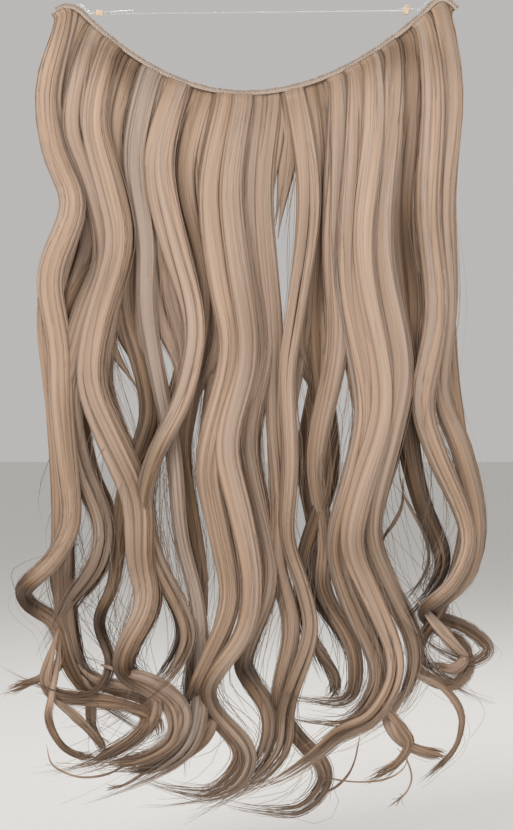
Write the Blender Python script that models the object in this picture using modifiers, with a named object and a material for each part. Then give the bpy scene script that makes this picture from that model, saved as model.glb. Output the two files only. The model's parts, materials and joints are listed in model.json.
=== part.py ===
"""A halo hairpiece: long waved locks on a sewn weft band, held up by a clear nylon line.

Metres, +Z up, and the front faces -Y. The origin is the middle of the line, where the head carries it.
"""

import math

import bmesh
import bpy
from mathutils import Vector

# Weft band: a parabola that hangs from the ends of the line, with a short tail past each end.
weft_low_x = -0.0068
weft_left_span = 0.1017
weft_right_span = 0.1116
weft_drop = 0.0504
left_tail_length = 0.0155
left_tail_rise = 0.0035
right_tail_length = 0.0198
right_tail_rise = 0.0077
tail_starts = 0.87  # share of each half at which its tail begins
band_height = 0.0034
band_depth = 0.0024
band_sections = 36

# Line: one nylon strand, sewn along the band's edge, folded there and led back through a crimp bead.
line_diameter = 0.0006
line_lap = 0.0085  # how far it is sewn along the band
line_tilt = 0.0011
line_pair_gap = 0.0005
left_tail_end = 0.0185  # how far the cut end runs past the bead
right_tail_end = 0.0040

# Crimp beads: width, height and depth of each block, its distance from the line's end, and its lean.
left_bead_size = (0.0052, 0.0043, 0.0032)
left_bead_inset = 0.0115
left_bead_lean = math.radians(6)
right_bead_size = (0.0036, 0.0059, 0.0032)
right_bead_inset = 0.0115
right_bead_lean = math.radians(15)
bead_edge = 0.0007

# Hair: its length, the depth of its layers and curls, and the row of bundled roots under the band.
hair_length = 0.496
layer_depth = 0.0085
curl_depth = 0.0125
root_row_height = 0.0042
root_row_depth = 0.0050
curtain_drop = 0.024  # how far the unparted hair hangs below the root row
curtain_fade = 5  # how late towards the band's ends that drop fades out
lock_base_thickness = 0.0032
lock_flatness = 0.42  # thickness of a lock as a share of its width
tip_size = 0.22  # size of a lock's tip as a share of its end width
lock_sides = 6
lock_root_drop = 0.40  # how far below the middle of the root row a lock starts, as a share of the row's height
lock_root_width = 0.72  # width of a lock's first section as a share of its root width
lock_pitch = 0.060  # spacing of a lock's sections where it runs straight
lock_turn_weight = 1.0  # extra sections for each radian that it turns

clearance = 0.0003

# One row for each lock. root is its place along the band, from -1 at the left end to 1 at the right.
# layer is its depth, from -1 in front to 1 behind. widths are those at the root, the middle and the end,
# and bends are (across, down) from its root. Widths and bends are hundredths of hair_length.
lock_table = (
    {"name": "left_edge", "root": -0.985, "layer": -0.3, "widths": (2.8, 3.3, 1.3), "bends": (
        (-2.3, 8.9), (-1.4, 17), (1.1, 23.6), (-1.9, 32.3), (-0.4, 41.4), (-0.3, 48.3), (0.4, 55.8), (1.0, 63.5),
        (-1.5, 68.3), (-5.0, 71.6), (-4.4, 73.6), (-0.9, 76), (0.4, 80.5), (2.6, 84.3), (8, 88.3))},
    {"name": "left_second", "root": -0.93, "layer": 0.2, "widths": (2.8, 2.8, 1.3), "bends": (
        (-2.3, 10.1), (-1.3, 15.8), (0.8, 23.6), (-1.3, 31.4), (-2.3, 37.6), (-1.3, 49.5), (-0.8, 60.8), (-1, 70.1),
        (-0.1, 78.3), (1.3, 82.2), (5.6, 84.3), (10.2, 85.8), (10, 88.9), (4.8, 92.6), (-0.3, 94.1))},
    {"name": "left_third", "root": -0.854, "layer": 0.9, "widths": (3.0, 3.0, 1.7), "bends": (
        (-2.6, 8.6), (-1.4, 16.1), (1.4, 26.1), (0, 32.4), (-2.1, 38), (-1.5, 49.9), (-1.1, 61.1), (-2.8, 69.9),
        (-1.8, 75.5))},
    {"name": "left_fourth", "root": -0.77, "layer": 0.1, "widths": (2.9, 3.4, 2.2), "bends": (
        (-2.5, 11), (-0.4, 17.5), (1.5, 27.5), (-1.1, 35.6), (-3.1, 45), (-2, 53.5), (1.1, 61.3), (0.1, 66.3),
        (-2.9, 70.4), (-5, 74))},
    {"name": "left_fifth", "root": -0.69, "layer": -0.8, "widths": (3.0, 3.4, 1.7), "bends": (
        (-2, 8.9), (-0.1, 16.8), (1.3, 24.5), (-1.5, 34.5), (-2.3, 42), (0.4, 49.1), (3.6, 56.4), (3.9, 63.9),
        (4.8, 69.3), (1.9, 75.3), (1.9, 78), (7.7, 81.9), (8.1, 85.8), (4, 88.3), (-0.9, 89))},
    {"name": "left_sixth", "root": -0.584, "layer": 0.7, "widths": (3.0, 2.6, 0.9), "bends": (
        (-2, 9), (-0.5, 16.5), (-0.1, 22.1), (-0.8, 30), (1.8, 38.8), (2.3, 44.6), (-0.6, 52.4), (-1.4, 59),
        (-2.1, 65.3), (-4, 70), (-2.3, 75.5), (-4.9, 79), (-11.3, 77.8))},
    {"name": "grey", "root": -0.477, "layer": -0.2, "widths": (3.5, 2.0, 1.9), "bends": (
        (-2, 10), (-0.4, 20.6), (-0.4, 28.8), (1.1, 38.1), (2.9, 46.9), (3.8, 57.5), (6, 66.3), (6.4, 76.9),
        (5, 83.4), (-0.6, 87.3), (-4.4, 89))},
    {"name": "mid_left", "root": -0.345, "layer": -0.6, "widths": (3.7, 2.5, 1.7), "bends": (
        (-2.4, 9.1), (-0.5, 18.5), (2.4, 29.5), (0.8, 38.8), (-2.6, 45.8), (-4, 52.3), (-2.4, 59.1), (1.8, 67.9),
        (-0.3, 72.8), (-3.1, 75.8))},
    {"name": "mid_behind", "root": -0.21, "layer": 0.8, "widths": (3.6, 2.4, 1.1), "bends": (
        (-2.1, 9.4), (0.3, 23.1), (-0.6, 32.5), (-2.8, 43.1), (-1.5, 52.5), (-0.1, 62.5), (-1.9, 73.1),
        (-2.3, 80.3))},
    {"name": "big_left", "root": -0.09, "layer": -0.5, "widths": (3.0, 2.9, 1.6), "bends": (
        (-2.1, 10.6), (-1, 22.4), (0.6, 31.5), (-2.5, 45.3), (-1.1, 53.4), (0.5, 62.4), (-2.5, 70.3), (-3.9, 74.1),
        (-1.1, 77.4), (1.9, 81.6), (-1.8, 85.9), (-7.1, 85.4))},
    {"name": "big_right", "root": -0.01, "layer": -1.0, "widths": (2.8, 2.9, 1.7), "bends": (
        (-1.6, 10.5), (-0.9, 19.5), (0.6, 32), (-2, 42.6), (-0.4, 50.8), (1.1, 60.1), (0, 66.4), (-4.2, 72.6),
        (-3.7, 75.9), (0.8, 81.3), (-1.1, 85.1), (-7.1, 86.8))},
    {"name": "centre_thin", "root": 0.058, "layer": 0.2, "widths": (2.8, 2.0, 1.9), "bends": (
        (-1, 10.1), (-0.4, 20.8), (1, 30.8), (-1.4, 42), (0.5, 52.5), (1.5, 60.1), (-1.6, 68.5), (-1.8, 71.2),
        (1.6, 76.6), (0.4, 82.3), (-4.4, 86.5))},
    {"name": "gap_left", "root": 0.13, "layer": 0.4, "widths": (2.9, 2.1, 1.7), "bends": (
        (-1.3, 11), (0.2, 27.9), (0.1, 39.8), (0.8, 51), (0.6, 57.9), (2.5, 66), (0.7, 75.4), (2.6, 79.3),
        (6.6, 84.3), (3.6, 88.2), (-2.4, 88.3))},
    {"name": "gap_right", "root": 0.232, "layer": -0.3, "widths": (2.9, 2.1, 1.6), "bends": (
        (1.7, 12.6), (-0.1, 27.6), (-1.1, 35.1), (-0.6, 46.4), (-1.1, 55.1), (1, 61.4), (2, 67), (-1.1, 76),
        (-1.5, 81.1), (-4.4, 84.9), (-8.1, 87.3))},
    {"name": "gap_shade", "root": 0.30, "layer": 0.9, "widths": (3.2, 2.5, 1.4), "bends": (
        (1.1, 13.1), (0.5, 29.4), (1.9, 40.6), (2.4, 48.8), (-1, 59.4), (-0.1, 68.4), (3, 75.6))},
    {"name": "right_mid", "root": 0.435, "layer": 0.1, "widths": (4.0, 2.7, 1.2), "bends": (
        (0.3, 9.3), (-0.3, 20.5), (0, 32.4), (-3.1, 47.4), (-1.6, 57.4), (-2, 63.6), (1.9, 71.1), (1.3, 77),
        (-4.6, 77))},
    {"name": "broad_left", "root": 0.507, "layer": -0.6, "widths": (3.0, 3.0, 1.7), "bends": (
        (0, 9), (-0.9, 25.9), (1.5, 41.5), (0, 49.5), (-2.5, 59), (-0.5, 66.8), (2.9, 75), (-0.6, 80.3),
        (-5.9, 80.4))},
    {"name": "broad_middle", "root": 0.594, "layer": -1.0, "widths": (3.0, 3.1, 1.6), "bends": (
        (0.3, 8.5), (-1.4, 24.1), (1.5, 42.3), (-1.6, 53.8), (-2.6, 60.4), (0.5, 67.8), (3, 75.4), (0, 81.3),
        (-4.3, 83.3), (-7, 85.6), (-11, 88.4), (-15.3, 90.4))},
    {"name": "broad_right", "root": 0.686, "layer": -0.5, "widths": (2.9, 3.1, 1.9), "bends": (
        (0.1, 7), (-1.5, 24.5), (1.3, 39.5), (-0.4, 48.6), (-2.9, 60.1), (-0.4, 67.3), (2.9, 75.1), (0.9, 81.6),
        (-2.9, 84.8))},
    {"name": "right_shade", "root": 0.759, "layer": 0.8, "widths": (2.9, 3.2, 1.6), "bends": (
        (0.5, 7.6), (-0.4, 20.8), (1.1, 33.9), (-0.1, 47), (1.9, 58), (4.5, 64.8), (3.3, 68.3), (0.8, 71.3))},
    {"name": "right_front", "root": 0.836, "layer": -0.5, "widths": (2.9, 2.7, 1.0), "bends": (
        (1.1, 9.1), (0.3, 22.9), (1.5, 36), (-0.5, 47.3), (1.6, 54), (5.6, 63.5), (3.5, 69.6), (-0.4, 73.3),
        (3.6, 76.9), (5.6, 79.8), (3.3, 81.9), (0.3, 78.6))},
    {"name": "right_second", "root": 0.911, "layer": 0.1, "widths": (2.8, 2.6, 1.0), "bends": (
        (1.6, 10.6), (0.4, 23.8), (1, 36.9), (-0.1, 47.5), (2.6, 54.5), (4.7, 65), (3, 71.4), (-1.4, 75.3),
        (3.5, 77.4), (6.1, 79.9), (3.4, 81.5), (-1, 79.5))},
    {"name": "right_edge", "root": 0.97, "layer": 0.7, "widths": (2.6, 2.1, 1.1), "bends": (
        (1.1, 9), (-0.3, 22.8), (0.3, 35.3), (0.9, 45.6), (2.1, 54), (2.8, 63.4), (0, 74), (-3.3, 80.3),
        (1.3, 84.8))},
)

# One row for each short lock that parts from another one, at a share of that one's run.
fork_table = (
    {"name": "left_flick", "parent": "left_edge", "at": 0.88, "width": 1.4, "bends": (
        (-1.1, 2.3), (-2.8, 3.4), (-4.6, 4.1), (-7.2, 5.0))},
    {"name": "left_point", "parent": "left_edge", "at": 0.945, "width": 1.3, "bends": (
        (0.4, 3.9), (1.4, 6), (2.3, 7.8))},
    {"name": "right_tendril", "parent": "broad_right", "at": 0.90, "width": 1.0, "bends": (
        (3.4, 1.6), (6.0, 5.2), (5.2, 9.3), (2, 12.8))},
    {"name": "right_scoop", "parent": "broad_right", "at": 0.97, "width": 1.7, "bends": (
        (0.9, 2.4), (2.9, 3.9), (6.9, 4.9))},
    {"name": "low_point", "parent": "broad_middle", "at": 0.81, "width": 1.4, "bends": (
        (2, 2.8), (3.2, 4.8), (1.6, 7.4), (-1.8, 9.3))},
)

# One row for each lock at the back, which runs behind another one and ends at a share of its run.
back_table = (
    {"name": "back_left_edge", "behind": "left_second", "shift": 0.6, "reach": 0.80, "width": 2.6},
    {"name": "back_left", "behind": "left_fourth", "shift": 0.8, "reach": 1.0, "width": 3.2},
    {"name": "back_left_inner", "behind": "left_fifth", "shift": 0.9, "reach": 0.84, "width": 2.8},
    {"name": "back_mid_left", "behind": "mid_left", "shift": -0.9, "reach": 1.0, "width": 3.0},
    {"name": "back_middle", "behind": "big_left", "shift": 0.4, "reach": 0.86, "width": 3.2},
    {"name": "back_gap_left", "behind": "centre_thin", "shift": 0.6, "reach": 0.88, "width": 2.2},
    {"name": "back_gap_right", "behind": "right_mid", "shift": -1.2, "reach": 0.86, "width": 2.8},
    {"name": "back_broad", "behind": "broad_left", "shift": 0.9, "reach": 0.92, "width": 3.2},
    {"name": "back_right", "behind": "broad_right", "shift": 0.4, "reach": 0.94, "width": 3.2},
    {"name": "back_right_edge", "behind": "right_front", "shift": 0.3, "reach": 0.74, "width": 3.0},
)
back_layer = 1.9
back_root_drop = -0.14  # a back lock starts this share of the root row's height from the one that it follows
root_layer = 0.22  # share of its layer's depth that a lock has at its root


def clear_scene():
    for obj in list(bpy.data.objects):
        bpy.data.objects.remove(obj, do_unlink=True)


def new_collection(name):
    collection = bpy.data.collections.new(name)
    bpy.context.scene.collection.children.link(collection)
    return collection


def new_material(name, colour, roughness, metallic=0.0, alpha=1.0):
    material = bpy.data.materials.new(name)
    material.use_nodes = True
    shader = material.node_tree.nodes["Principled BSDF"]
    shader.inputs["Base Color"].default_value = (*colour, 1.0)
    shader.inputs["Roughness"].default_value = roughness
    shader.inputs["Metallic"].default_value = metallic
    shader.inputs["Alpha"].default_value = alpha
    return material


def object_from_bmesh(name, shape, collection, material=None):
    """One closed mesh as an object, its faces made triangles that point out."""
    bmesh.ops.triangulate(shape, faces=shape.faces[:])
    bmesh.ops.recalc_face_normals(shape, faces=shape.faces[:])
    mesh = bpy.data.meshes.new(name)
    shape.to_mesh(mesh)
    shape.free()
    mesh.shade_smooth()
    obj = bpy.data.objects.new(name, mesh)
    collection.objects.link(obj)
    if material:
        mesh.materials.append(material)
    return obj


def band_point(share):
    """A point of the band's centre-line: share is -1 at the left end, 0 at the lowest point, 1 at the right end."""
    left = share < 0
    span = weft_left_span if left else weft_right_span
    tail_length = left_tail_length if left else right_tail_length
    tail_rise = left_tail_rise if left else right_tail_rise
    along = abs(share) / tail_starts
    if along <= 1:
        across, up = span * along, weft_drop * along**2 - weft_drop
    else:
        past = (abs(share) - tail_starts) / (1 - tail_starts)
        across, up = span + tail_length * past, tail_rise * math.sin(math.pi * past * 0.92)
    return Vector((weft_low_x + (-across if left else across), 0, up))


def band_along(share):
    """The direction of the band at this share, from left to right."""
    step = 0.01
    return (band_point(min(share + step, 1)) - band_point(max(share - step, -1))).normalized()


def band_down(share):
    """The direction square to the band at this share, on the side where the hair hangs."""
    along = band_along(share)
    return Vector((along.z, 0, -along.x))


def smooth_curve(knots, per_span=10):
    """Points of a centripetal Catmull-Rom curve through the knots."""
    padded = [2 * knots[0] - knots[1], *knots, 2 * knots[-1] - knots[-2]]
    points = []
    for a, b, c, d in zip(padded, padded[1:], padded[2:], padded[3:]):
        t1 = (b - a).length ** 0.5
        t2 = t1 + (c - b).length ** 0.5
        t3 = t2 + (d - c).length ** 0.5
        for step in range(per_span):
            t = t1 + (t2 - t1) * step / per_span
            ab = a.lerp(b, t / t1)
            bc = b.lerp(c, (t - t1) / (t2 - t1))
            cd = c.lerp(d, (t - t2) / (t3 - t2))
            abc = ab.lerp(bc, t / t2)
            bcd = bc.lerp(cd, (t - t1) / (t3 - t1))
            points.append(abc.lerp(bcd, (t - t1) / (t2 - t1)))
    points.append(knots[-1])
    return points


def shares_of_run(points):
    """How far along the line each point is, from 0 to 1."""
    lengths = [0.0]
    for a, b in zip(points, points[1:]):
        lengths.append(lengths[-1] + (b - a).length)
    return [length / lengths[-1] for length in lengths]


def point_at(points, share):
    shares = shares_of_run(points)
    for i in range(1, len(points)):
        if shares[i] >= share:
            part = (share - shares[i - 1]) / (shares[i] - shares[i - 1])
            return points[i - 1].lerp(points[i], part)
    return points[-1].copy()


def hung_path(root, bends):
    """The flat path of a lock: its root on the band, then its bends, in hundredths of the hair's length."""
    unit = hair_length / 100
    knots = [root] + [root + Vector((across * unit, 0, -down * unit)) for across, down in bends]
    return smooth_curve(knots)


def root_of(share, lower=0.0):
    """The middle of the root row at this share, or a place lower in it by a share of its height."""
    return band_point(share) + band_down(share) * (band_height / 2 + clearance + root_row_height * (0.5 + lower))


def with_depth(points, layer, start_depth=None):
    """The same path with its depth: its layer opens out below the root, and its curl swings front to back."""
    shares = shares_of_run(points)
    total = hair_length
    deep = []
    for i, point in enumerate(points):
        run = points[min(i + 2, len(points) - 1)] - points[max(i - 2, 0)]
        swing = run.x / run.length
        opened = min(1.0, shares[i] * (total / hair_length) / 0.22)
        grown = root_layer + (1 - root_layer) * (3 * opened**2 - 2 * opened**3)
        curl = curl_depth * swing * min(1.0, 0.25 + 0.75 * shares[i] / 0.6) * opened
        depth = layer * layer_depth * grown + curl
        if start_depth is not None:
            depth = start_depth + (depth - start_depth) * opened
        deep.append(Vector((point.x, depth, point.z)))
    return deep


def spaced_sections(points, pitch, turn_weight):
    """Fewer points of a path: their spacing is wide on straight runs and close in tight bends."""
    effort = [0.0]
    for i in range(1, len(points)):
        step = (points[i] - points[i - 1]).length
        turn = 0.0
        if i < len(points) - 1 and step > 0:
            turn = (points[i] - points[i - 1]).angle(points[i + 1] - points[i], 0.0)
        effort.append(effort[-1] + step / pitch + turn * turn_weight)
    count = max(4, round(effort[-1]))
    places = []
    i = 1
    for k in range(count + 1):
        wanted = effort[-1] * k / count
        while i < len(points) - 1 and effort[i] < wanted:
            i += 1
        part = (wanted - effort[i - 1]) / (effort[i] - effort[i - 1])
        places.append(points[i - 1].lerp(points[i], min(max(part, 0.0), 1.0)))
    return places


def width_at(share, widths, taper_from=0.86):
    """Width of a lock at a share of its run, eased from its root to its middle, to its end and to its tip."""
    root, middle, end = (width * hair_length / 100 for width in widths)
    if share < 0.45:
        eased = (1 - math.cos(math.pi * share / 0.45)) / 2
        width = root + (middle - root) * eased
    else:
        eased = (1 - math.cos(math.pi * (share - 0.45) / 0.55)) / 2
        width = middle + (end - middle) * eased
    if share > taper_from:
        width *= 1 - (1 - tip_size) * ((share - taper_from) / (1 - taper_from)) ** 2
    return width


def add_loft(shape, points, widths, first_side=None):
    """Adds a closed flat-oval loft along the points to the bmesh. first_side turns its first section to the band."""
    shares = shares_of_run(points)
    rings = []
    for i, point in enumerate(points):
        run = (points[min(i + 1, len(points) - 1)] - points[max(i - 1, 0)]).normalized()
        side = first_side if first_side and i == 0 else run.cross(Vector((0, 1, 0))).normalized()
        front = side.cross(run).normalized()
        width = width_at(shares[i], widths) * (lock_root_width if first_side and i == 0 else 1)
        thickness = min(width * 0.9, lock_base_thickness + lock_flatness * width)
        ring = []
        for k in range(lock_sides):
            angle = 2 * math.pi * k / lock_sides
            offset = side * (math.cos(angle) * width / 2) + front * (math.sin(angle) * thickness / 2)
            ring.append(shape.verts.new(point + offset))
        rings.append(ring)
    for lower, upper in zip(rings, rings[1:]):
        for k in range(lock_sides):
            j = (k + 1) % lock_sides
            shape.faces.new((lower[k], lower[j], upper[j], upper[k]))
    shape.faces.new(list(reversed(rings[0])))
    shape.faces.new(rings[-1])


def lock_paths():
    """Each lock's path, widths and first side by name, in the order in which the locks are laid."""
    flat, laid, sides = {}, {}, {}
    for row in lock_table:
        flat[row["name"]] = hung_path(root_of(row["root"], lock_root_drop), row["bends"])
        sides[row["name"]] = band_along(row["root"])
        laid[row["name"]] = (with_depth(flat[row["name"]], row["layer"]), row["widths"], sides[row["name"]])
    for row in fork_table:
        parent = laid[row["parent"]][0]
        start = point_at(parent, row["at"])
        path = hung_path(Vector((start.x, 0, start.z)), row["bends"])
        path = [Vector((point.x, start.y, point.z)) for point in path]
        laid[row["name"]] = (path, (row["width"] * 0.8, row["width"], row["width"] * 0.6), None)
    for row in back_table:
        followed = flat[row["behind"]]
        shares = shares_of_run(followed)
        lower = sides[row["behind"]].cross(Vector((0, 1, 0))) * root_row_height * back_root_drop
        path = []
        for point, share in zip(followed, shares):
            if share <= row["reach"]:
                aside = row["shift"] * hair_length / 100 * min(1.0, 0.2 + share / 0.1)
                path.append(point + lower + Vector((aside, 0, 0)))
        widths = (row["width"], row["width"], row["width"] * 0.5)
        laid[row["name"]] = (with_depth(path, back_layer), widths, sides[row["behind"]])
    return laid


def make_root_row(collection, material):
    """The row of bundled roots under the band and the curtain of hair just below it, which all locks are fused to."""
    shape = bmesh.new()
    rings = []
    for i in range(band_sections + 1):
        share = (-1 + 2 * i / band_sections) * 0.995
        centre, down = root_of(share), band_down(share)
        hang = curtain_drop * (1 - abs(share) ** curtain_fade)
        ring = []
        for k in range(lock_sides):
            angle = 2 * math.pi * (k + 0.5) / lock_sides
            high = down * (math.sin(angle) * root_row_height / 2)
            deep = Vector((0, math.cos(angle) * root_row_depth / 2, 0))
            lower = Vector((0, 0, -hang * max(0.0, math.sin(angle)) ** 0.25))
            ring.append(shape.verts.new(centre + high + deep + lower))
        rings.append(ring)
    for lower, upper in zip(rings, rings[1:]):
        for k in range(lock_sides):
            j = (k + 1) % lock_sides
            shape.faces.new((lower[k], lower[j], upper[j], upper[k]))
    shape.faces.new(list(reversed(rings[0])))
    shape.faces.new(rings[-1])
    return object_from_bmesh("hair", shape, collection, material)


def outer_shell(shape):
    """Fills the small pockets that are shut in between fused locks, by keeping the largest shell alone."""
    left = set(shape.faces)
    shells = []
    while left:
        shell = [left.pop()]
        for face in shell:
            near = {other for edge in face.edges for other in edge.link_faces} & left
            left -= near
            shell.extend(near)
        shells.append(shell)
    shells.sort(key=len)
    for shell in shells[:-1]:
        bmesh.ops.delete(shape, geom=shell, context="FACES")


def make_hair(parts, helpers, material):
    """All locks, fused to the root row and to each other."""
    hair = make_root_row(parts, material)
    for name, (path, widths, first_side) in lock_paths().items():
        shape = bmesh.new()
        add_loft(shape, spaced_sections(path, lock_pitch, lock_turn_weight), widths, first_side)
        lock = object_from_bmesh("lock_" + name, shape, helpers)
        lock.hide_render = True
        lock.display_type = "WIRE"
        union = hair.modifiers.new("union_" + name, "BOOLEAN")
        union.operation = "UNION"
        union.object = lock
    bpy.context.view_layer.update()
    graph = bpy.context.evaluated_depsgraph_get()
    fused = bmesh.new()
    fused.from_mesh(hair.evaluated_get(graph).data)
    hair.modifiers.clear()
    outer_shell(fused)
    fused.to_mesh(hair.data)
    fused.free()
    hair.data.shade_smooth()
    return hair


def make_weft_band(parts, material):
    """The sewn band: an upright oval section carried along the band's curve."""
    shape = bmesh.new()
    sides = 8
    rings = []
    for i in range(band_sections + 1):
        share = -1 + 2 * i / band_sections
        centre, down = band_point(share), band_down(share)
        ring = []
        for k in range(sides):
            angle = 2 * math.pi * (k + 0.5) / sides
            high = down * (math.sin(angle) * band_height / 2)
            deep = Vector((0, math.cos(angle) * band_depth / 2, 0))
            ring.append(shape.verts.new(centre + high + deep))
        rings.append(ring)
    for lower, upper in zip(rings, rings[1:]):
        for k in range(sides):
            j = (k + 1) % sides
            shape.faces.new((lower[k], lower[j], upper[j], upper[k]))
    shape.faces.new(list(reversed(rings[0])))
    shape.faces.new(rings[-1])
    return object_from_bmesh("weft_band", shape, parts, material)


def line_ends():
    """The two ends of the line's span, on the band's centre-line where its tails begin."""
    left = band_point(-tail_starts) + Vector((0, 0, -line_tilt))
    right = band_point(tail_starts) + Vector((0, 0, line_tilt))
    return left, right


def line_height(x):
    left, right = line_ends()
    return left.z + (right.z - left.z) * (x - left.x) / (right.x - left.x)


def along_band(end, off_band, above_line):
    """Points of the line where it is sewn along the band's upper edge, from where it meets the band outwards."""
    points = []
    share, step = tail_starts * 0.7, 0.002
    while share < 1 and (not points or (points[0] - points[-1]).length < line_lap):
        place = band_point(end * share) - band_down(end * share) * off_band
        if points or place.z >= line_height(place.x) + above_line:
            points.append(place)
        share += step
    return points[::4] + points[-1:]


def line_end(end):
    """One end of the line, from its lower run round the fold on the band to its upper run."""
    beside = band_height / 2 + clearance + line_diameter / 2
    apart = line_diameter + line_pair_gap
    lower = along_band(end, beside, -apart / 2)
    upper = along_band(end, beside + apart, apart / 2)
    outward = (lower[-1] - lower[-2]).normalized()
    fold = (lower[-1] + upper[-1]) / 2 + outward * apart / 2
    return [*lower, fold, *reversed(upper)]


def make_head_wire(parts, material):
    """The line, in one strand: cut end, fold, the long span over the head, fold and cut end."""
    left, right = line_ends()
    apart = (line_diameter + line_pair_gap) / 2
    left_bead = left.x + left_bead_inset
    right_bead = right.x - right_bead_inset
    half_left, half_right = left_bead_size[0] / 2, right_bead_size[0] / 2
    cut_end_lift = apart * 1.5

    def on_line(x, side):
        return Vector((x, 0, line_height(x) + side * apart))

    points = [on_line(left_bead + half_left + left_tail_end, 1) + Vector((0, 0, cut_end_lift))]
    points += [on_line(left_bead + half_left, 1), on_line(left_bead - half_left, 1)]
    points += reversed(line_end(-1))
    points += [on_line(left_bead - half_left, -1), on_line(left_bead + half_left, -1)]
    points += [on_line(x, -1) for x in (left.x * 0.5, 0.0, right.x * 0.5)]
    points += [on_line(right_bead - half_right, -1), on_line(right_bead + half_right, -1)]
    points += line_end(1)
    points += [on_line(right_bead + half_right, 1), on_line(right_bead - half_right, 1)]
    points.append(on_line(right_bead - half_right - right_tail_end, 1) + Vector((0, 0, cut_end_lift)))

    curve = bpy.data.curves.new("head_wire", "CURVE")
    curve.dimensions = "3D"
    curve.bevel_depth = line_diameter / 2
    curve.bevel_resolution = 1
    curve.use_fill_caps = True
    spline = curve.splines.new("POLY")
    spline.points.add(len(points) - 1)
    for spot, point in zip(spline.points, points):
        spot.co = (*point, 1)
    curve.materials.append(material)
    wire = bpy.data.objects.new("head_wire", curve)
    parts.objects.link(wire)
    return wire


def make_bead(name, x, size, lean, parts, helpers, material):
    """A crimp bead: a block with soft edges, slotted for the two runs of the line."""
    width, height, depth = size
    place = Vector((x, 0, line_height(x)))
    shape = bmesh.new()
    bmesh.ops.create_cube(shape, size=1)
    bmesh.ops.scale(shape, vec=(width, depth, height), verts=shape.verts)
    bead = object_from_bmesh(name, shape, parts, material)
    bead.location = place
    bead.rotation_euler = (0, lean, 0)
    edge = bead.modifiers.new("soft_edges", "BEVEL")
    edge.width = bead_edge
    edge.segments = 2
    slot_shape = bmesh.new()
    bmesh.ops.create_cube(slot_shape, size=1)
    slot_width = line_diameter + 2 * clearance
    slot_height = 2 * line_diameter + line_pair_gap + 2 * clearance
    bmesh.ops.scale(slot_shape, vec=(width * 2, slot_width, slot_height), verts=slot_shape.verts)
    slot = object_from_bmesh("slot_" + name, slot_shape, helpers)
    slot.location = place
    slot.hide_render = True
    slot.display_type = "WIRE"
    cut = bead.modifiers.new("slot", "BOOLEAN")
    cut.operation = "DIFFERENCE"
    cut.object = slot
    return bead


def main():
    clear_scene()
    parts = new_collection("hairpiece")
    helpers = new_collection("helpers")
    blonde = new_material("hair_blonde", (0.52, 0.37, 0.26), 0.42)
    thread = new_material("weft_thread", (0.72, 0.60, 0.50), 0.8)
    nylon = new_material("clear_nylon", (0.85, 0.85, 0.83), 0.12, alpha=0.55)
    crimp = new_material("cream_crimp", (0.78, 0.62, 0.40), 0.35)
    make_hair(parts, helpers, blonde)
    make_weft_band(parts, thread)
    make_head_wire(parts, nylon)
    left, right = line_ends()
    make_bead("crimp_bead_left", left.x + left_bead_inset, left_bead_size, left_bead_lean, parts, helpers, crimp)
    make_bead("crimp_bead_right", right.x - right_bead_inset, right_bead_size, right_bead_lean, parts, helpers, crimp)


main()
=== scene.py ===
# A halo hairpiece: long waved blonde hair on a sewn band, hung from a clear line.
import json
import math

import bpy
import numpy as np
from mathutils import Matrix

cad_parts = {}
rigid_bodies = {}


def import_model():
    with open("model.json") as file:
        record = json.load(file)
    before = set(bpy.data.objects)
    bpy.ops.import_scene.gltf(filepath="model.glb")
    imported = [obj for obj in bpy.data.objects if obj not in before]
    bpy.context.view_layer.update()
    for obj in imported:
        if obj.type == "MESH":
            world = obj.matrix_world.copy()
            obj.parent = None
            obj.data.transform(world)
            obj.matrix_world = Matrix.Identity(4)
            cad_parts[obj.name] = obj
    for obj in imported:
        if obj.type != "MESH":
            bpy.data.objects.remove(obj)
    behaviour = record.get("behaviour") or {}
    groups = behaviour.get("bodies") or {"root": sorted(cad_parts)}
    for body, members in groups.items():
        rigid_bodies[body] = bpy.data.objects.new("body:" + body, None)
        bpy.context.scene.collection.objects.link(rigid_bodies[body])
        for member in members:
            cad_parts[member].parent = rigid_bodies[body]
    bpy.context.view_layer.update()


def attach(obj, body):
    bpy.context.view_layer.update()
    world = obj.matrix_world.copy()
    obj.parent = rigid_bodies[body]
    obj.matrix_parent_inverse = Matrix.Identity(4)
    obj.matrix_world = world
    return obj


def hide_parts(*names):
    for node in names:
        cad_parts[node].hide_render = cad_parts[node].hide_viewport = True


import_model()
rng = np.random.default_rng(20)
depthAxis = np.array((0.0, 1.0, 0.0))

# the photograph's frame, and what one of its pixels is worth at the hairpiece
shot = {
    "width": 513,
    "height": 830,
    "metresPerPixel": 0.00062,
    "originX": 256.0,
    "originY": 11.5,
    "distance": 1.6,
    "sensor": 36.0,
}


def newCamera():
    scale = shot["metresPerPixel"]
    centreX = (shot["width"] / 2 - shot["originX"]) * scale
    centreZ = -(shot["height"] / 2 - shot["originY"]) * scale
    bpy.ops.object.camera_add(location=(centreX, -shot["distance"], centreZ), rotation=(math.pi / 2, 0, 0))
    camera = bpy.context.object
    camera.name = "photoCamera"
    camera.data.sensor_fit = "VERTICAL"
    camera.data.sensor_height = shot["sensor"]
    camera.data.lens = shot["sensor"] * shot["distance"] / (shot["height"] * scale)
    bpy.context.scene.camera = camera


newCamera()
print("camera set")


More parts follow.
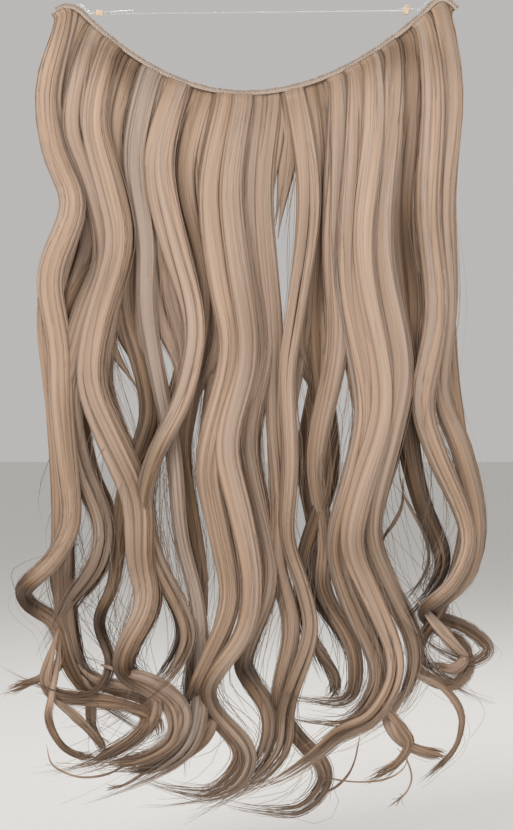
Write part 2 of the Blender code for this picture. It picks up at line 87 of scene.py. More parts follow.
# shader maths: a socket that adds, multiplies and mixes by writing it
class Socket:
    def __init__(self, tree, link):
        self.tree = tree
        self.link = link

    def node(self, kind, settings=None, values=None, out=0):
        made = self.tree.nodes.new(kind)
        for name, value in (settings or {}).items():
            if name == "stops":
                setStops(made.color_ramp, value)
            else:
                setattr(made, name, value)
        for name, value in (values or {}).items():
            target = made.inputs[name]
            if isinstance(value, Socket):
                self.tree.links.new(value.link, target)
            else:
                target.default_value = value
        return Socket(self.tree, made.outputs[out])

    def maths(self, operation, other=None):
        values = {0: self}
        if other is not None:
            values[1] = other
        return self.node("ShaderNodeMath", {"operation": operation}, values)

    def flipped(self, operation, other):
        return self.node("ShaderNodeMath", {"operation": operation}, {0: other, 1: self})

    def __add__(self, other):
        return self.maths("ADD", other)

    def __sub__(self, other):
        return self.maths("SUBTRACT", other)

    def __mul__(self, other):
        return self.maths("MULTIPLY", other)

    def __rsub__(self, other):
        return self.flipped("SUBTRACT", other)

    __radd__ = __add__
    __rmul__ = __mul__

    def clamped(self):
        return self.node("ShaderNodeClamp", None, {"Value": self})

    def ramp(self, stops):
        return self.node("ShaderNodeValToRGB", {"stops": stops}, {"Fac": self})

    def spread(self, low, high, newLow=0.0, newHigh=1.0):
        values = {"Value": self, "From Min": low, "From Max": high, "To Min": newLow, "To Max": newHigh}
        return self.node("ShaderNodeMapRange", None, values)


def setStops(ramp, stops):
    while len(ramp.elements) < len(stops):
        ramp.elements.new(0.5)
    for element, (place, colour) in zip(ramp.elements, stops):
        element.position = place
        element.color = (*colour, 1.0)


def mixColours(factor, first, second):
    made = factor.tree.nodes.new("ShaderNodeMix")
    made.data_type = "RGBA"
    for index, value in ((0, factor), (6, first), (7, second)):
        if isinstance(value, Socket):
            factor.tree.links.new(value.link, made.inputs[index])
        elif index == 0:
            made.inputs[index].default_value = value
        else:
            made.inputs[index].default_value = (*value, 1.0)
    return Socket(factor.tree, made.outputs[2])


def newMaterial(name, roughness, fixed=None):
    material = bpy.data.materials.new(name)
    material.use_nodes = True
    shader = material.node_tree.nodes["Principled BSDF"]
    shader.inputs["Roughness"].default_value = roughness
    for socketName, value in (fixed or {}).items():
        shader.inputs[socketName].default_value = value
    return material, Socket(material.node_tree, None)


def feed(material, socketName, value):
    shader = material.node_tree.nodes["Principled BSDF"]
    material.node_tree.links.new(value.link, shader.inputs[socketName])


def bumped(material, start, height, strength, distance):
    bump = start.node("ShaderNodeBump", None, {"Strength": strength, "Distance": distance, "Height": height})
    feed(material, "Normal", bump)


# long streaks that run with the hair: u is metres across it and v metres along it
def streakNoise(start, acrossScale, alongScale, detail=3.0, seed=0.0):
    place = start.node("ShaderNodeUVMap", {"uv_map": "hairUv"})
    values = {"Vector": place, "Scale": (acrossScale, alongScale, 1.0), "Location": (seed, seed * 0.7, 0.0)}
    stretched = start.node("ShaderNodeMapping", None, values)
    noise = {"Vector": stretched, "Scale": 1.0, "Detail": detail, "Roughness": 0.6}
    return start.node("ShaderNodeTexNoise", {"noise_dimensions": "2D"}, noise)


# hair colours from the lightest blonde through golden tones to the dark browns that serve as painted shade in
# turned curls, hollows and the back locks, and the ash grey of greyer strands
hairLook = {
    "stops": (
        (0.0, (0.68, 0.50, 0.38)),
        (0.30, (0.54, 0.375, 0.27)),
        (0.55, (0.375, 0.240, 0.150)),
        (0.78, (0.20, 0.110, 0.052)),
        (1.0, (0.065, 0.031, 0.012)),
    ),
    "ash": (0.42, 0.36, 0.32),
    "roughness": 0.40,
}


def hairMaterial(name, fineStreaks):
    material, start = newMaterial(name, hairLook["roughness"], {"Specular IOR Level": 0.42})
    # the tone attribute holds the hair's own tone together with its painted shade and painted light; the streaks
    # and the ash add the hair's own colour variation
    tone = start.node("ShaderNodeAttribute", {"attribute_name": "tone"}, out=2)
    ash = start.node("ShaderNodeAttribute", {"attribute_name": "ash"}, out=2)
    fine = streakNoise(start, 1500.0, 6.0)
    broad = streakNoise(start, 520.0, 9.0, 2.0, 3.7)
    patches = streakNoise(start, 70.0, 11.0, 2.0, 8.1)
    streak = (fine - 0.5) * 0.55 + (broad - 0.5) * 0.35 + (patches - 0.5) * 0.20
    shade = (tone + streak).clamped()
    colour = shade.ramp(hairLook["stops"])
    colour = mixColours((ash + (broad - 0.5) * 0.6).clamped() * 0.75, colour, hairLook["ash"])
    feed(material, "Base Color", colour)
    feed(material, "Roughness", (fine * 0.22) + (hairLook["roughness"] - 0.11))
    if fineStreaks:
        bumped(material, start, fine * 0.7 + broad * 0.8, 0.60, 0.0006)
    return material


# the weft's curve, as in the solids
weft = {
    "lowX": -0.0068,
    "leftSpan": 0.1017,
    "rightSpan": 0.1116,
    "drop": 0.0504,
    "leftTail": 0.0155,
    "leftTailRise": 0.0035,
    "rightTail": 0.0198,
    "rightTailRise": 0.0077,
    "tailStarts": 0.87,
    "height": 0.0034,
    "depth": 0.0024,
    "clearance": 0.0003,
    "rowHeight": 0.0042,
}


def bandPoint(share):
    left = share < 0
    span = weft["leftSpan"] if left else weft["rightSpan"]
    tail = weft["leftTail"] if left else weft["rightTail"]
    rise = weft["leftTailRise"] if left else weft["rightTailRise"]
    along = abs(share) / weft["tailStarts"]
    if along <= 1:
        across, up = span * along, weft["drop"] * along**2 - weft["drop"]
    else:
        past = (abs(share) - weft["tailStarts"]) / (1 - weft["tailStarts"])
        across, up = span + tail * past, rise * math.sin(math.pi * past * 0.92)
    return np.array((weft["lowX"] + (-across if left else across), 0.0, up))


def bandAlong(share):
    run = bandPoint(min(share + 0.01, 1)) - bandPoint(max(share - 0.01, -1))
    return run / np.linalg.norm(run)


def bandDown(share):
    along = bandAlong(share)
    return np.array((along[2], 0.0, -along[0]))


# rows under named columns
def tableOf(columns, rows):
    return [dict(zip(columns.split(), row)) for row in rows]


# one row for each lock: where it starts along the band, its depth from -1 in front to 1 behind, its widths at
# root, middle and end, how dark it is (partly its own tone, partly painted shade that darkens the locks lying
# further back), how ashen it is, and its bends as (across, down) from its root.
# Widths and bends are hundredths of the hair's length.
hair = {
    "length": 0.496,
    "layerDepth": 0.0085,
    "curlDepth": 0.0125,
    "rootLayer": 0.22,
    "rootDrop": 0.40,
    "baseThickness": 0.0032,
    "flatness": 0.42,
    "tipSize": 0.22,
    "forkLap": 0.05,
    "opensBy": 0.26,
    "fullBy": 0.32,
    "carriedOn": 0.07,
    "middleAt": 0.45,
    "narrowsAt": 0.86,
}
lockTable = tableOf("name root layer widths tone ash bends", (
    ("leftEdge", -0.985, -0.3, (2.8, 3.3, 1.3), 0.30, 0.25, (
        (-2.3, 8.9), (-1.4, 17), (1.1, 23.6), (-1.9, 32.3), (-0.4, 41.4), (-0.3, 48.3), (0.4, 55.8),
        (1.0, 63.5), (-1.5, 68.3), (-5.0, 71.6), (-4.4, 73.6), (-0.9, 76), (0.4, 80.5), (2.6, 84.3),
        (8, 88.3))),
    ("leftSecond", -0.93, 0.2, (2.8, 2.8, 1.3), 0.38, 0.15, (
        (-2.3, 10.1), (-1.3, 15.8), (0.8, 23.6), (-1.3, 31.4), (-2.3, 37.6), (-1.3, 49.5), (-0.8, 60.8),
        (-1, 70.1), (-0.1, 78.3), (1.3, 82.2), (5.6, 84.3), (10.2, 85.8), (10, 88.9), (4.8, 92.6),
        (-0.3, 94.1))),
    ("leftThird", -0.854, 0.9, (3.0, 3.0, 1.7), 0.66, 0.0, (
        (-2.6, 8.6), (-1.4, 16.1), (1.4, 26.1), (0, 32.4), (-2.1, 38), (-1.5, 49.9), (-1.1, 61.1),
        (-2.8, 69.9), (-1.8, 75.5))),
    ("leftFourth", -0.77, 0.1, (2.9, 3.4, 2.2), 0.36, 0.2, (
        (-2.5, 11), (-0.4, 17.5), (1.5, 27.5), (-1.1, 35.6), (-3.1, 45), (-2, 53.5), (1.1, 61.3),
        (0.1, 66.3), (-2.9, 70.4), (-5, 74))),
    ("leftFifth", -0.69, -0.8, (3.0, 3.4, 1.7), 0.28, 0.1, (
        (-2, 8.9), (-0.1, 16.8), (1.3, 24.5), (-1.5, 34.5), (-2.3, 42), (0.4, 49.1), (3.6, 56.4),
        (3.9, 63.9), (4.8, 69.3), (1.9, 75.3), (1.9, 78), (7.7, 81.9), (8.1, 85.8), (4, 88.3),
        (-0.9, 89))),
    ("leftSixth", -0.584, 0.7, (3.0, 2.6, 0.9), 0.55, 0.0, (
        (-2, 9), (-0.5, 16.5), (-0.1, 22.1), (-0.8, 30), (1.8, 38.8), (2.3, 44.6), (-0.6, 52.4),
        (-1.4, 59), (-2.1, 65.3), (-4, 70), (-2.3, 75.5), (-4.9, 79), (-11.3, 77.8))),
    ("grey", -0.477, -0.2, (3.5, 2.0, 1.9), 0.30, 0.6, (
        (-2, 10), (-0.4, 20.6), (-0.4, 28.8), (1.1, 38.1), (2.9, 46.9), (3.8, 57.5), (6, 66.3),
        (6.4, 76.9), (5, 83.4), (-0.6, 87.3), (-4.4, 89))),
    ("midLeft", -0.345, -0.6, (3.7, 2.5, 1.7), 0.26, 0.2, (
        (-2.4, 9.1), (-0.5, 18.5), (2.4, 29.5), (0.8, 38.8), (-2.6, 45.8), (-4, 52.3), (-2.4, 59.1),
        (1.8, 67.9), (-0.3, 72.8), (-3.1, 75.8))),
    ("midBehind", -0.21, 0.8, (3.6, 2.4, 1.1), 0.55, 0.0, (
        (-2.1, 9.4), (0.3, 23.1), (-0.6, 32.5), (-2.8, 43.1), (-1.5, 52.5), (-0.1, 62.5), (-1.9, 73.1),
        (-2.3, 80.3))),
    ("bigLeft", -0.09, -0.5, (3.0, 2.9, 1.6), 0.30, 0.1, (
        (-2.1, 10.6), (-1, 22.4), (0.6, 31.5), (-2.5, 45.3), (-1.1, 53.4), (0.5, 62.4), (-2.5, 70.3),
        (-3.9, 74.1), (-1.1, 77.4), (1.9, 81.6), (-1.8, 85.9), (-7.1, 85.4))),
    ("bigRight", -0.01, -1.0, (2.8, 2.9, 1.7), 0.22, 0.15, (
        (-1.6, 10.5), (-0.9, 19.5), (0.6, 32), (-2, 42.6), (-0.4, 50.8), (1.1, 60.1), (0, 66.4),
        (-4.2, 72.6), (-3.7, 75.9), (0.8, 81.3), (-1.1, 85.1), (-7.1, 86.8))),
    ("centreThin", 0.058, 0.2, (2.8, 2.0, 1.9), 0.36, 0.2, (
        (-1, 10.1), (-0.4, 20.8), (1, 30.8), (-1.4, 42), (0.5, 52.5), (1.5, 60.1), (-1.6, 68.5),
        (-1.8, 71.2), (1.6, 76.6), (0.4, 82.3), (-4.4, 86.5))),
    ("gapLeft", 0.13, 0.4, (2.9, 2.1, 1.7), 0.40, 0.1, (
        (-1.3, 11), (0.2, 27.9), (0.1, 39.8), (0.8, 51), (0.6, 57.9), (2.5, 66), (0.7, 75.4),
        (2.6, 79.3), (6.6, 84.3), (3.6, 88.2), (-2.4, 88.3))),
    ("gapRight", 0.232, -0.3, (2.9, 2.1, 1.6), 0.34, 0.2, (
        (1.7, 12.6), (-0.1, 27.6), (-1.1, 35.1), (-0.6, 46.4), (-1.1, 55.1), (1, 61.4), (2, 67),
        (-1.1, 76), (-1.5, 81.1), (-4.4, 84.9), (-8.1, 87.3))),
    ("gapShade", 0.30, 0.9, (3.2, 2.5, 1.4), 0.72, 0.0, (
        (1.1, 13.1), (0.5, 29.4), (1.9, 40.6), (2.4, 48.8), (-1, 59.4), (-0.1, 68.4), (3, 75.6))),
    ("rightMid", 0.435, 0.1, (4.0, 2.7, 1.2), 0.38, 0.2, (
        (0.3, 9.3), (-0.3, 20.5), (0, 32.4), (-3.1, 47.4), (-1.6, 57.4), (-2, 63.6), (1.9, 71.1),
        (1.3, 77), (-4.6, 77))),
    ("broadLeft", 0.507, -0.6, (3.0, 3.0, 1.7), 0.32, 0.2, (
        (0, 9), (-0.9, 25.9), (1.5, 41.5), (0, 49.5), (-2.5, 59), (-0.5, 66.8), (2.9, 75), (-0.6, 80.3),
        (-5.9, 80.4))),
    ("broadMiddle", 0.594, -1.0, (3.0, 3.1, 1.6), 0.22, 0.3, (
        (0.3, 8.5), (-1.4, 24.1), (1.5, 42.3), (-1.6, 53.8), (-2.6, 60.4), (0.5, 67.8), (3, 75.4),
        (0, 81.3), (-4.3, 83.3), (-7, 85.6), (-11, 88.4), (-15.3, 90.4))),
    ("broadRight", 0.686, -0.5, (2.9, 3.1, 1.9), 0.30, 0.2, (
        (0.1, 7), (-1.5, 24.5), (1.3, 39.5), (-0.4, 48.6), (-2.9, 60.1), (-0.4, 67.3), (2.9, 75.1),
        (0.9, 81.6), (-2.9, 84.8))),
    ("rightShade", 0.759, 0.8, (2.9, 3.2, 1.6), 0.68, 0.0, (
        (0.5, 7.6), (-0.4, 20.8), (1.1, 33.9), (-0.1, 47), (1.9, 58), (4.5, 64.8), (3.3, 68.3),
        (0.8, 71.3))),
    ("rightFront", 0.836, -0.5, (2.9, 2.7, 1.0), 0.34, 0.2, (
        (1.1, 9.1), (0.3, 22.9), (1.5, 36), (-0.5, 47.3), (1.6, 54), (5.6, 63.5), (3.5, 69.6),
        (-0.4, 73.3), (3.6, 76.9), (5.6, 79.8), (3.3, 81.9), (0.3, 78.6))),
    ("rightSecond", 0.911, 0.1, (2.8, 2.6, 1.0), 0.38, 0.1, (
        (1.6, 10.6), (0.4, 23.8), (1, 36.9), (-0.1, 47.5), (2.6, 54.5), (4.7, 65), (3, 71.4),
        (-1.4, 75.3), (3.5, 77.4), (6.1, 79.9), (3.4, 81.5), (-1, 79.5))),
    ("rightEdge", 0.97, 0.7, (2.6, 2.1, 1.1), 0.48, 0.0, (
        (1.1, 9), (-0.3, 22.8), (0.3, 35.3), (0.9, 45.6), (2.1, 54), (2.8, 63.4), (0, 74), (-3.3, 80.3),
        (1.3, 84.8))),
))
# short locks that part from another one, at a share of that one's run
forkTable = tableOf("name parent at width tone bends", (
    ("leftFlick", "leftEdge", 0.88, 1.4, 0.36, (
        (-1.1, 2.3), (-2.8, 3.4), (-4.6, 4.1), (-7.2, 5.0))),
    ("leftPoint", "leftEdge", 0.945, 1.3, 0.40, (
        (0.4, 3.9), (1.4, 6), (2.3, 7.8))),
    ("rightTendril", "broadRight", 0.90, 1.0, 0.42, (
        (3.4, 1.6), (6.0, 5.2), (5.2, 9.3), (2, 12.8))),
    ("rightScoop", "broadRight", 0.97, 1.7, 0.34, (
        (0.9, 2.4), (2.9, 3.9), (6.9, 4.9))),
    ("lowPoint", "broadMiddle", 0.81, 1.4, 0.42, (
        (2, 2.8), (3.2, 4.8), (1.6, 7.4), (-1.8, 9.3))),
))
# locks at the back, each behind another one and ending at a share of its run
backTable = tableOf("name behind shift reach width", (
    ("backLeftEdge", "leftSecond", 0.6, 0.80, 2.6),
    ("backLeft", "leftFourth", 0.8, 1.0, 3.2),
    ("backLeftInner", "leftFifth", 0.9, 0.84, 2.8),
    ("backMidLeft", "midLeft", -0.9, 1.0, 3.0),
    ("backMiddle", "bigLeft", 0.4, 0.86, 3.2),
    ("backGapLeft", "centreThin", 0.6, 0.88, 2.2),
    ("backGapRight", "rightMid", -1.2, 0.86, 2.8),
    ("backBroad", "broadLeft", 0.9, 0.92, 3.2),
    ("backRight", "broadRight", 0.4, 0.94, 3.2),
    ("backRightEdge", "rightFront", 0.3, 0.74, 3.0),
))
# the locks at the back get a darker tone: painted shade
backLook = {"layer": 1.9, "tone": 0.50, "ash": 0.1}


# settings for painted shade and painted light along a lock: its even tone at the top, painted shade where curls
# turn away from the light, painted light where they turn towards it, painted shade under the band and towards the
# lower end
shadeLook = {
    "top": 0.33, "turned": 0.44, "lit": 0.05, "bendRadius": 0.022, "turnedFrom": 0.40,
    "shadeUnderBand": 0.16, "shadeLowerMiddle": 0.20, "shadeLowerEnd": 0.16,
}
# soft patches of painted shade in the hollows between locks and just under the band, in hundredths of the hair's
# length from the middle of the line
shadeTable = tableOf("name x down wide tall amount", (
    ("underWeftLeft", -19.5, 5.2, 3.6, 1.9, 0.26),
    ("underWeftInner", -15.2, 7.8, 3.2, 1.7, 0.24),
    ("underWeftRight", 17.6, 5.6, 4.4, 2.2, 0.26),
    ("underWeftEdge", 22.5, 5.0, 2.4, 1.6, 0.14),
    ("leftHollow", -19.9, 31.5, 2.4, 4.2, 0.30),
    ("gapSide", 7.8, 31.0, 1.8, 9.0, 0.20),
    ("rightHollow", 19.6, 28.5, 2.2, 6.5, 0.26),
    ("middleHollow", -1.6, 41.0, 2.4, 6.5, 0.20),
    ("leftDeep", -13.9, 53.6, 2.2, 7.5, 0.24),
))


# curls at the ends and thin wisps: where they run, in hundredths of the hair's length across and down from
# the middle of the line, how far behind the middle they lie in millimetres, their width in hundredths too, and
# how dark they are: partly their own tone, partly painted shade that darkens the curls lying further back
curlTable = tableOf("name depth width tone points", (
    ("leftRing", -6, 0.9, 0.30, (
        (-24.5, 77.5), (-24.6, 80.5), (-25.2, 84.0), (-25.5, 85.8), (-25.9, 87.9), (-25.2, 90.2),
        (-23.8, 92.1), (-21.8, 93.1), (-19.8, 93.2))),
    ("leftSwirl", -9, 2.0, 0.36, (
        (-24.6, 77.0), (-25.6, 80.6), (-26.2, 83.6), (-25.1, 85.4), (-22.0, 85.8), (-18.6, 86.3),
        (-15.2, 87.1), (-12.4, 88.8), (-12.0, 90.8))),
    ("leftSwirlLow", -5, 1.1, 0.42, (
        (-26.0, 85.0), (-24.6, 86.4), (-22.6, 87.9), (-20.5, 90.0), (-18.6, 92.3))),
    ("outerCurl", -2, 1.9, 0.36, (
        (-19.4, 81.6), (-16.8, 82.5), (-13.4, 83.4), (-10.5, 85.1), (-8.8, 87.5), (-9.3, 89.9),
        (-11.7, 92.1), (-15.3, 93.2), (-18.6, 93.6))),
    ("innerCurl", 3, 1.5, 0.44, (
        (-22.4, 81.6), (-20.5, 83.4), (-17.2, 84.2), (-14.1, 84.9), (-12.4, 86.3), (-12.9, 88.7),
        (-15.3, 90.8), (-18.6, 92.6), (-21.3, 94.2))),
    ("underCurl", 2, 1.8, 0.50, (
        (-6.2, 83.8), (-5.5, 86.1), (-5.4, 88.7), (-6.6, 90.9), (-9.0, 92.8), (-12.4, 94.2),
        (-16.8, 94.7))),
    ("leftArc", -3, 0.6, 0.40, (
        (-10.0, 91.4), (-11.4, 93.2), (-13.4, 94.9), (-16.3, 96.6), (-18.8, 97.1))),
    ("leftLowArc", 0, 0.4, 0.40, (
        (-26.2, 91.6), (-25.5, 94.2), (-22.9, 95.7), (-20.5, 95.9), (-17.6, 95.1), (-14.8, 93.0))),
    ("centreTuck", 10, 1.4, 0.58, (
        (5.4, 75.8), (7.0, 78.7), (8.6, 81.1), (9.9, 83.6), (9.3, 86.0))),
    ("rightLowerCurl", 4, 1.6, 0.52, (
        (19.3, 78.6), (19.8, 81.6), (22.0, 83.7), (24.6, 84.4), (26.5, 82.8), (26.3, 80.1),
        (24.1, 77.3))),
    ("rightInnerCurl", -6, 1.5, 0.26, (
        (20.0, 73.4), (22.0, 76.0), (24.4, 78.9), (25.8, 80.8), (24.0, 82.0), (21.6, 81.0))),
    ("rightThinLow", -2, 0.4, 0.34, (
        (17.6, 92.0), (18.9, 93.5), (19.5, 95.4), (18.9, 97.1), (16.9, 98.9))),
    ("rightThinArc", -4, 0.4, 0.34, (
        (19.0, 92.8), (18.4, 94.4), (16.0, 95.7), (12.1, 96.1), (7.9, 95.4))),
    ("middleThin", 2, 0.5, 0.40, (
        (13.0, 90.6), (12.5, 93.3), (11.8, 95.2), (10.1, 96.9), (8.0, 98.0))),
    ("brownLoop", 12, 0.7, 0.62, (
        (18.5, 58.4), (18.2, 61.8), (17.3, 63.6), (16.1, 65.4), (15.3, 67.6), (15.1, 69.6),
        (15.6, 72.0))),
    ("brownSide", 10, 0.8, 0.62, (
        (18.0, 58.0), (18.6, 60.8), (19.8, 63.2), (21.0, 65.8), (21.5, 68.2), (21.0, 70.2),
        (19.9, 71.9), (18.5, 73.6))),
))


# points of a centripetal Catmull-Rom curve through the knots
def smoothCurve(knots, perSpan=14):
    knots = np.asarray(knots, float)
    padded = np.vstack((2 * knots[0] - knots[1], knots, 2 * knots[-1] - knots[-2]))
    points = []
    for a, b, c, d in zip(padded, padded[1:], padded[2:], padded[3:]):
        t1 = np.linalg.norm(b - a) ** 0.5
        t2 = t1 + np.linalg.norm(c - b) ** 0.5
        t3 = t2 + np.linalg.norm(d - c) ** 0.5
        t = (t1 + (t2 - t1) * np.arange(perSpan) / perSpan)[:, None]
        ab = a + (b - a) * t / t1
        bc = b + (c - b) * (t - t1) / (t2 - t1)
        cd = c + (d - c) * (t - t2) / (t3 - t2)
        abc = ab + (bc - ab) * t / t2
        bcd = bc + (cd - bc) * (t - t1) / (t3 - t1)
        points.append(abc + (bcd - abc) * (t - t1) / (t2 - t1))
    return np.vstack((*points, knots[-1:]))


def runLengths(points):
    return np.concatenate(([0.0], np.cumsum(np.linalg.norm(np.diff(points, axis=0), axis=1))))


def unitRows(vectors):
    return vectors / np.maximum(np.linalg.norm(vectors, axis=-1, keepdims=True), 1e-12)


def easedStep(value):
    value = np.clip(value, 0.0, 1.0)
    return value * value * (3 - 2 * value)


# the same path with its corners eased by a moving average
def softened(points, reach=4):
    padded = np.concatenate((np.repeat(points[:1], reach, 0), points, np.repeat(points[-1:], reach, 0)))
    window = np.ones(2 * reach + 1) / (2 * reach + 1)
    eased = np.stack([np.convolve(padded[:, axis], window, "valid") for axis in range(3)], axis=-1)
    eased[0] = points[0]
    return eased


# where a lock leaves the row of roots under the band
def rootOf(share):
    drop = weft["height"] / 2 + weft["clearance"] + weft["rowHeight"] * (0.5 + hair["rootDrop"])
    return bandPoint(share) + bandDown(share) * drop


def hungPath(start, root, bends):
    unit = hair["length"] / 100
    knots = [start, root] + [root + np.array((across * unit, 0.0, -down * unit)) for across, down in bends]
    return smoothCurve(knots)


# the layer opens out below the root, and the curl swings from front to back
def withDepth(points, layer):
    lengths = runLengths(points)
    shares = lengths / lengths[-1]
    count = len(points)
    ahead = points[np.minimum(np.arange(count) + 3, count - 1)]
    behind = points[np.maximum(np.arange(count) - 3, 0)]
    swing = unitRows(ahead - behind)[:, 0]
    opened = easedStep(shares / hair["opensBy"])
    grown = hair["rootLayer"] + (1 - hair["rootLayer"]) * opened
    curl = hair["curlDepth"] * swing * np.minimum(1.0, 0.25 + 1.25 * shares) * opened
    deep = points.copy()
    deep[:, 1] = layer * hair["layerDepth"] * grown + curl
    return deep


# half the width of a lock along its run, eased from root to middle, to end and to tip
def widthAt(shares, widths):
    root, middle, end = (width * hair["length"] / 200 for width in widths)
    half, narrow = hair["middleAt"], hair["narrowsAt"]
    early = root + (middle - root) * (1 - np.cos(np.pi * np.clip(shares / half, 0, 1))) / 2
    late = middle + (end - middle) * (1 - np.cos(np.pi * np.clip((shares - half) / (1 - half), 0, 1))) / 2
    width = np.where(shares < half, early, late)
    past = np.clip((shares - narrow) / (1 - narrow), 0, 1)
    return width * (1 - (1 - hair["tipSize"]) * past**2)


# the path carried on past its end in the same bend, for its longest strands
def curledOn(path, extra):
    early, late = unitRows(path[-9] - path[-13]), unitRows(path[-1] - path[-5])
    apart = np.linalg.norm(path[-3] - path[-11])
    turn = math.atan2(early[0] * late[2] - early[2] * late[0], early[0] * late[0] + early[2] * late[2])
    turn = np.clip(turn / apart, -90, 90)
    angle = math.atan2(late[2], late[0])
    steps, point = 14, path[-1]
    added = []
    for i in range(steps):
        angle += turn * extra / steps
        point = point + np.array((math.cos(angle), late[1] * 0.5, math.sin(angle))) * extra / steps
        added.append(point)
    return np.vstack((path, added))


# a lock as arrays along its run: its middle line, its side and front directions and its half sizes
def lockOf(path, halfWidth, halfDepth, tone, ash, end, bandSide, shares):
    run = unitRows(np.gradient(path, axis=0))
    side = unitRows(np.cross(run, depthAxis))
    if bandSide is not None:
        blend = easedStep(shares / 0.09)[:, None]
        side = unitRows(bandSide * (1 - blend) + side * blend)
    front = unitRows(np.cross(side, run))
    turn = np.linalg.norm(np.diff(run, axis=0, prepend=run[:1]), axis=1)
    steps = np.linalg.norm(np.diff(path, axis=0, prepend=path[:1]), axis=1)
    effort = np.cumsum(steps / 0.012 + turn * 6.0)
    return {
        "path": path, "shares": shares, "run": run, "side": side, "front": front, "halfWidth": halfWidth,
        "halfDepth": halfDepth, "effort": effort, "toneAndShadeRow": toneAndShadeAlong(path, shares, run, tone),
        "ash": ash, "end": end,
    }


# how dark a lock is along its run: its own tone, even at the top, with painted golden-brown shade where a curl
# turns away from the light and painted light where it turns towards it, painted shade just under the band and
# towards the lower end, and the painted shade patches of the shade table
def toneAndShadeAlong(path, shares, run, tone):
    own = shadeLook["top"] + (tone - shadeLook["top"]) * (0.35 + 0.65 * easedStep((shares - 0.08) / 0.35))
    steps = np.maximum(np.gradient(runLengths(path)), 1e-6)
    bend = np.gradient(run[:, 0]) / steps
    window = np.ones(9) / 9
    bend = np.convolve(np.pad(bend, 4, mode="edge"), window, "valid") * shadeLook["bendRadius"]
    # painted shade where a curl turns away from the light and painted light where it turns towards it, lower down
    # the run
    low = easedStep((shares - shadeLook["turnedFrom"]) / 0.30)
    turned = low * (shadeLook["turned"] * np.clip(bend, 0, 1) - shadeLook["lit"] * np.clip(-bend, 0, 1))
    # painted shade just under the band
    under = shadeLook["shadeUnderBand"] * (1 - easedStep(shares / 0.06))
    # painted shade that darkens the lower half and the ends more
    lowerShade = shadeLook["shadeLowerMiddle"] * easedStep((shares - 0.35) / 0.3)
    lowerShade = lowerShade + shadeLook["shadeLowerEnd"] * easedStep((shares - 0.72) / 0.2)
    total = own + turned + under + lowerShade
    unit = hair["length"] / 100
    # soft patches of painted shade in the hollows
    for row in shadeTable:
        across = (path[:, 0] / unit - row["x"]) / row["wide"]
        down = (-path[:, 2] / unit - row["down"]) / row["tall"]
        total = total + row["amount"] * np.exp(-(across**2) - down**2)
    return total


# a lock's tone with its painted shade at these places, plus a strand's own tone
def toneOf(lock, places, own):
    return alongLock(lock, places, "toneAndShadeRow") + own


# a lock from its flat path, with its depth and sizes, and carried on past its end
def wholeLock(flat, layer, widths, tone, ash, bandSide):
    nominal = softened(withDepth(flat, layer))
    lengths = runLengths(nominal)
    path = curledOn(nominal, hair["carriedOn"] * lengths[-1])
    shares = runLengths(path) / lengths[-1]
    halfWidth = widthAt(shares, widths)
    halfDepth = np.minimum(halfWidth * 0.9, hair["baseThickness"] / 2 + hair["flatness"] * halfWidth)
    if bandSide is not None:
        halfDepth = halfDepth * (0.20 + 0.80 * easedStep(shares / hair["fullBy"]))
    return lockOf(path, halfWidth, halfDepth, tone, ash, 1.0, bandSide, shares)


def layLocks():
    flat, sides, locks = {}, {}, {}
    for row in lockTable:
        start = bandPoint(row["root"]) + bandDown(row["root"]) * weft["height"] * 0.3
        name = row["name"]
        flat[name] = hungPath(start, rootOf(row["root"]), row["bends"])
        sides[name] = bandAlong(row["root"])
        locks[name] = wholeLock(flat[name], row["layer"], row["widths"], row["tone"], row["ash"], sides[name])
    for row in forkTable:
        parent = locks[row["parent"]]
        inside, start = (alongLock(parent, row["at"] - back, "path") for back in (hair["forkLap"], 0))
        path = hungPath(inside * (1, 0, 1), start * (1, 0, 1), row["bends"])
        lengths = runLengths(path)
        path[:, 1] = np.interp(lengths, (0, np.linalg.norm(start - inside)), (inside[1], start[1]))
        path = curledOn(softened(path, 3), 0.15 * lengths[-1])
        shares = runLengths(path) / lengths[-1]
        half = widthAt(shares, (row["width"] * 0.8, row["width"], row["width"] * 0.6))
        half = half * (0.3 + 0.7 * easedStep(shares / 0.25))
        locks[row["name"]] = lockOf(path, half, half * 0.6, row["tone"], 0.1, 1.0, None, shares)
    for row in backTable:
        followed = flat[row["behind"]]
        shares = runLengths(followed) / runLengths(followed)[-1]
        kept = followed[shares <= row["reach"]].copy()
        aside = np.clip((shares[shares <= row["reach"]] - 0.02) / 0.1, 0, 1)
        kept[:, 0] += row["shift"] * hair["length"] / 100 * aside
        widths = (row["width"], row["width"], row["width"] * 0.5)
        side = sides[row["behind"]]
        locks[row["name"]] = wholeLock(
            kept, backLook["layer"], widths, backLook["tone"], backLook["ash"], side)
    return locks


def layCurls():
    unit = hair["length"] / 100
    for row in curlTable:
        knots = [np.array((x * unit, row["depth"] * 0.001, -down * unit)) for x, down in row["points"]]
        path = softened(smoothCurve(knots), 3)
        run = unitRows(np.gradient(path, axis=0))
        shares = runLengths(path) / runLengths(path)[-1]
        path[:, 1] += hair["curlDepth"] * 0.5 * (run[:, 0] - run[0, 0]) * easedStep(shares / 0.3)
        half = widthAt(shares, (row["width"] * 0.5, row["width"], row["width"] * 0.7))
        half = half * (0.3 + 0.7 * easedStep(shares / 0.2))
        yield row["name"], lockOf(path, half, half * 0.5, row["tone"], 0.15, 0.97, None, shares)


# values of a lock's array at these shares of its run
def alongLock(lock, places, key):
    table = lock[key]
    if table.ndim == 1:
        return np.interp(places, lock["shares"], table)
    return np.stack([np.interp(places, lock["shares"], table[:, i]) for i in range(table.shape[1])], axis=-1)


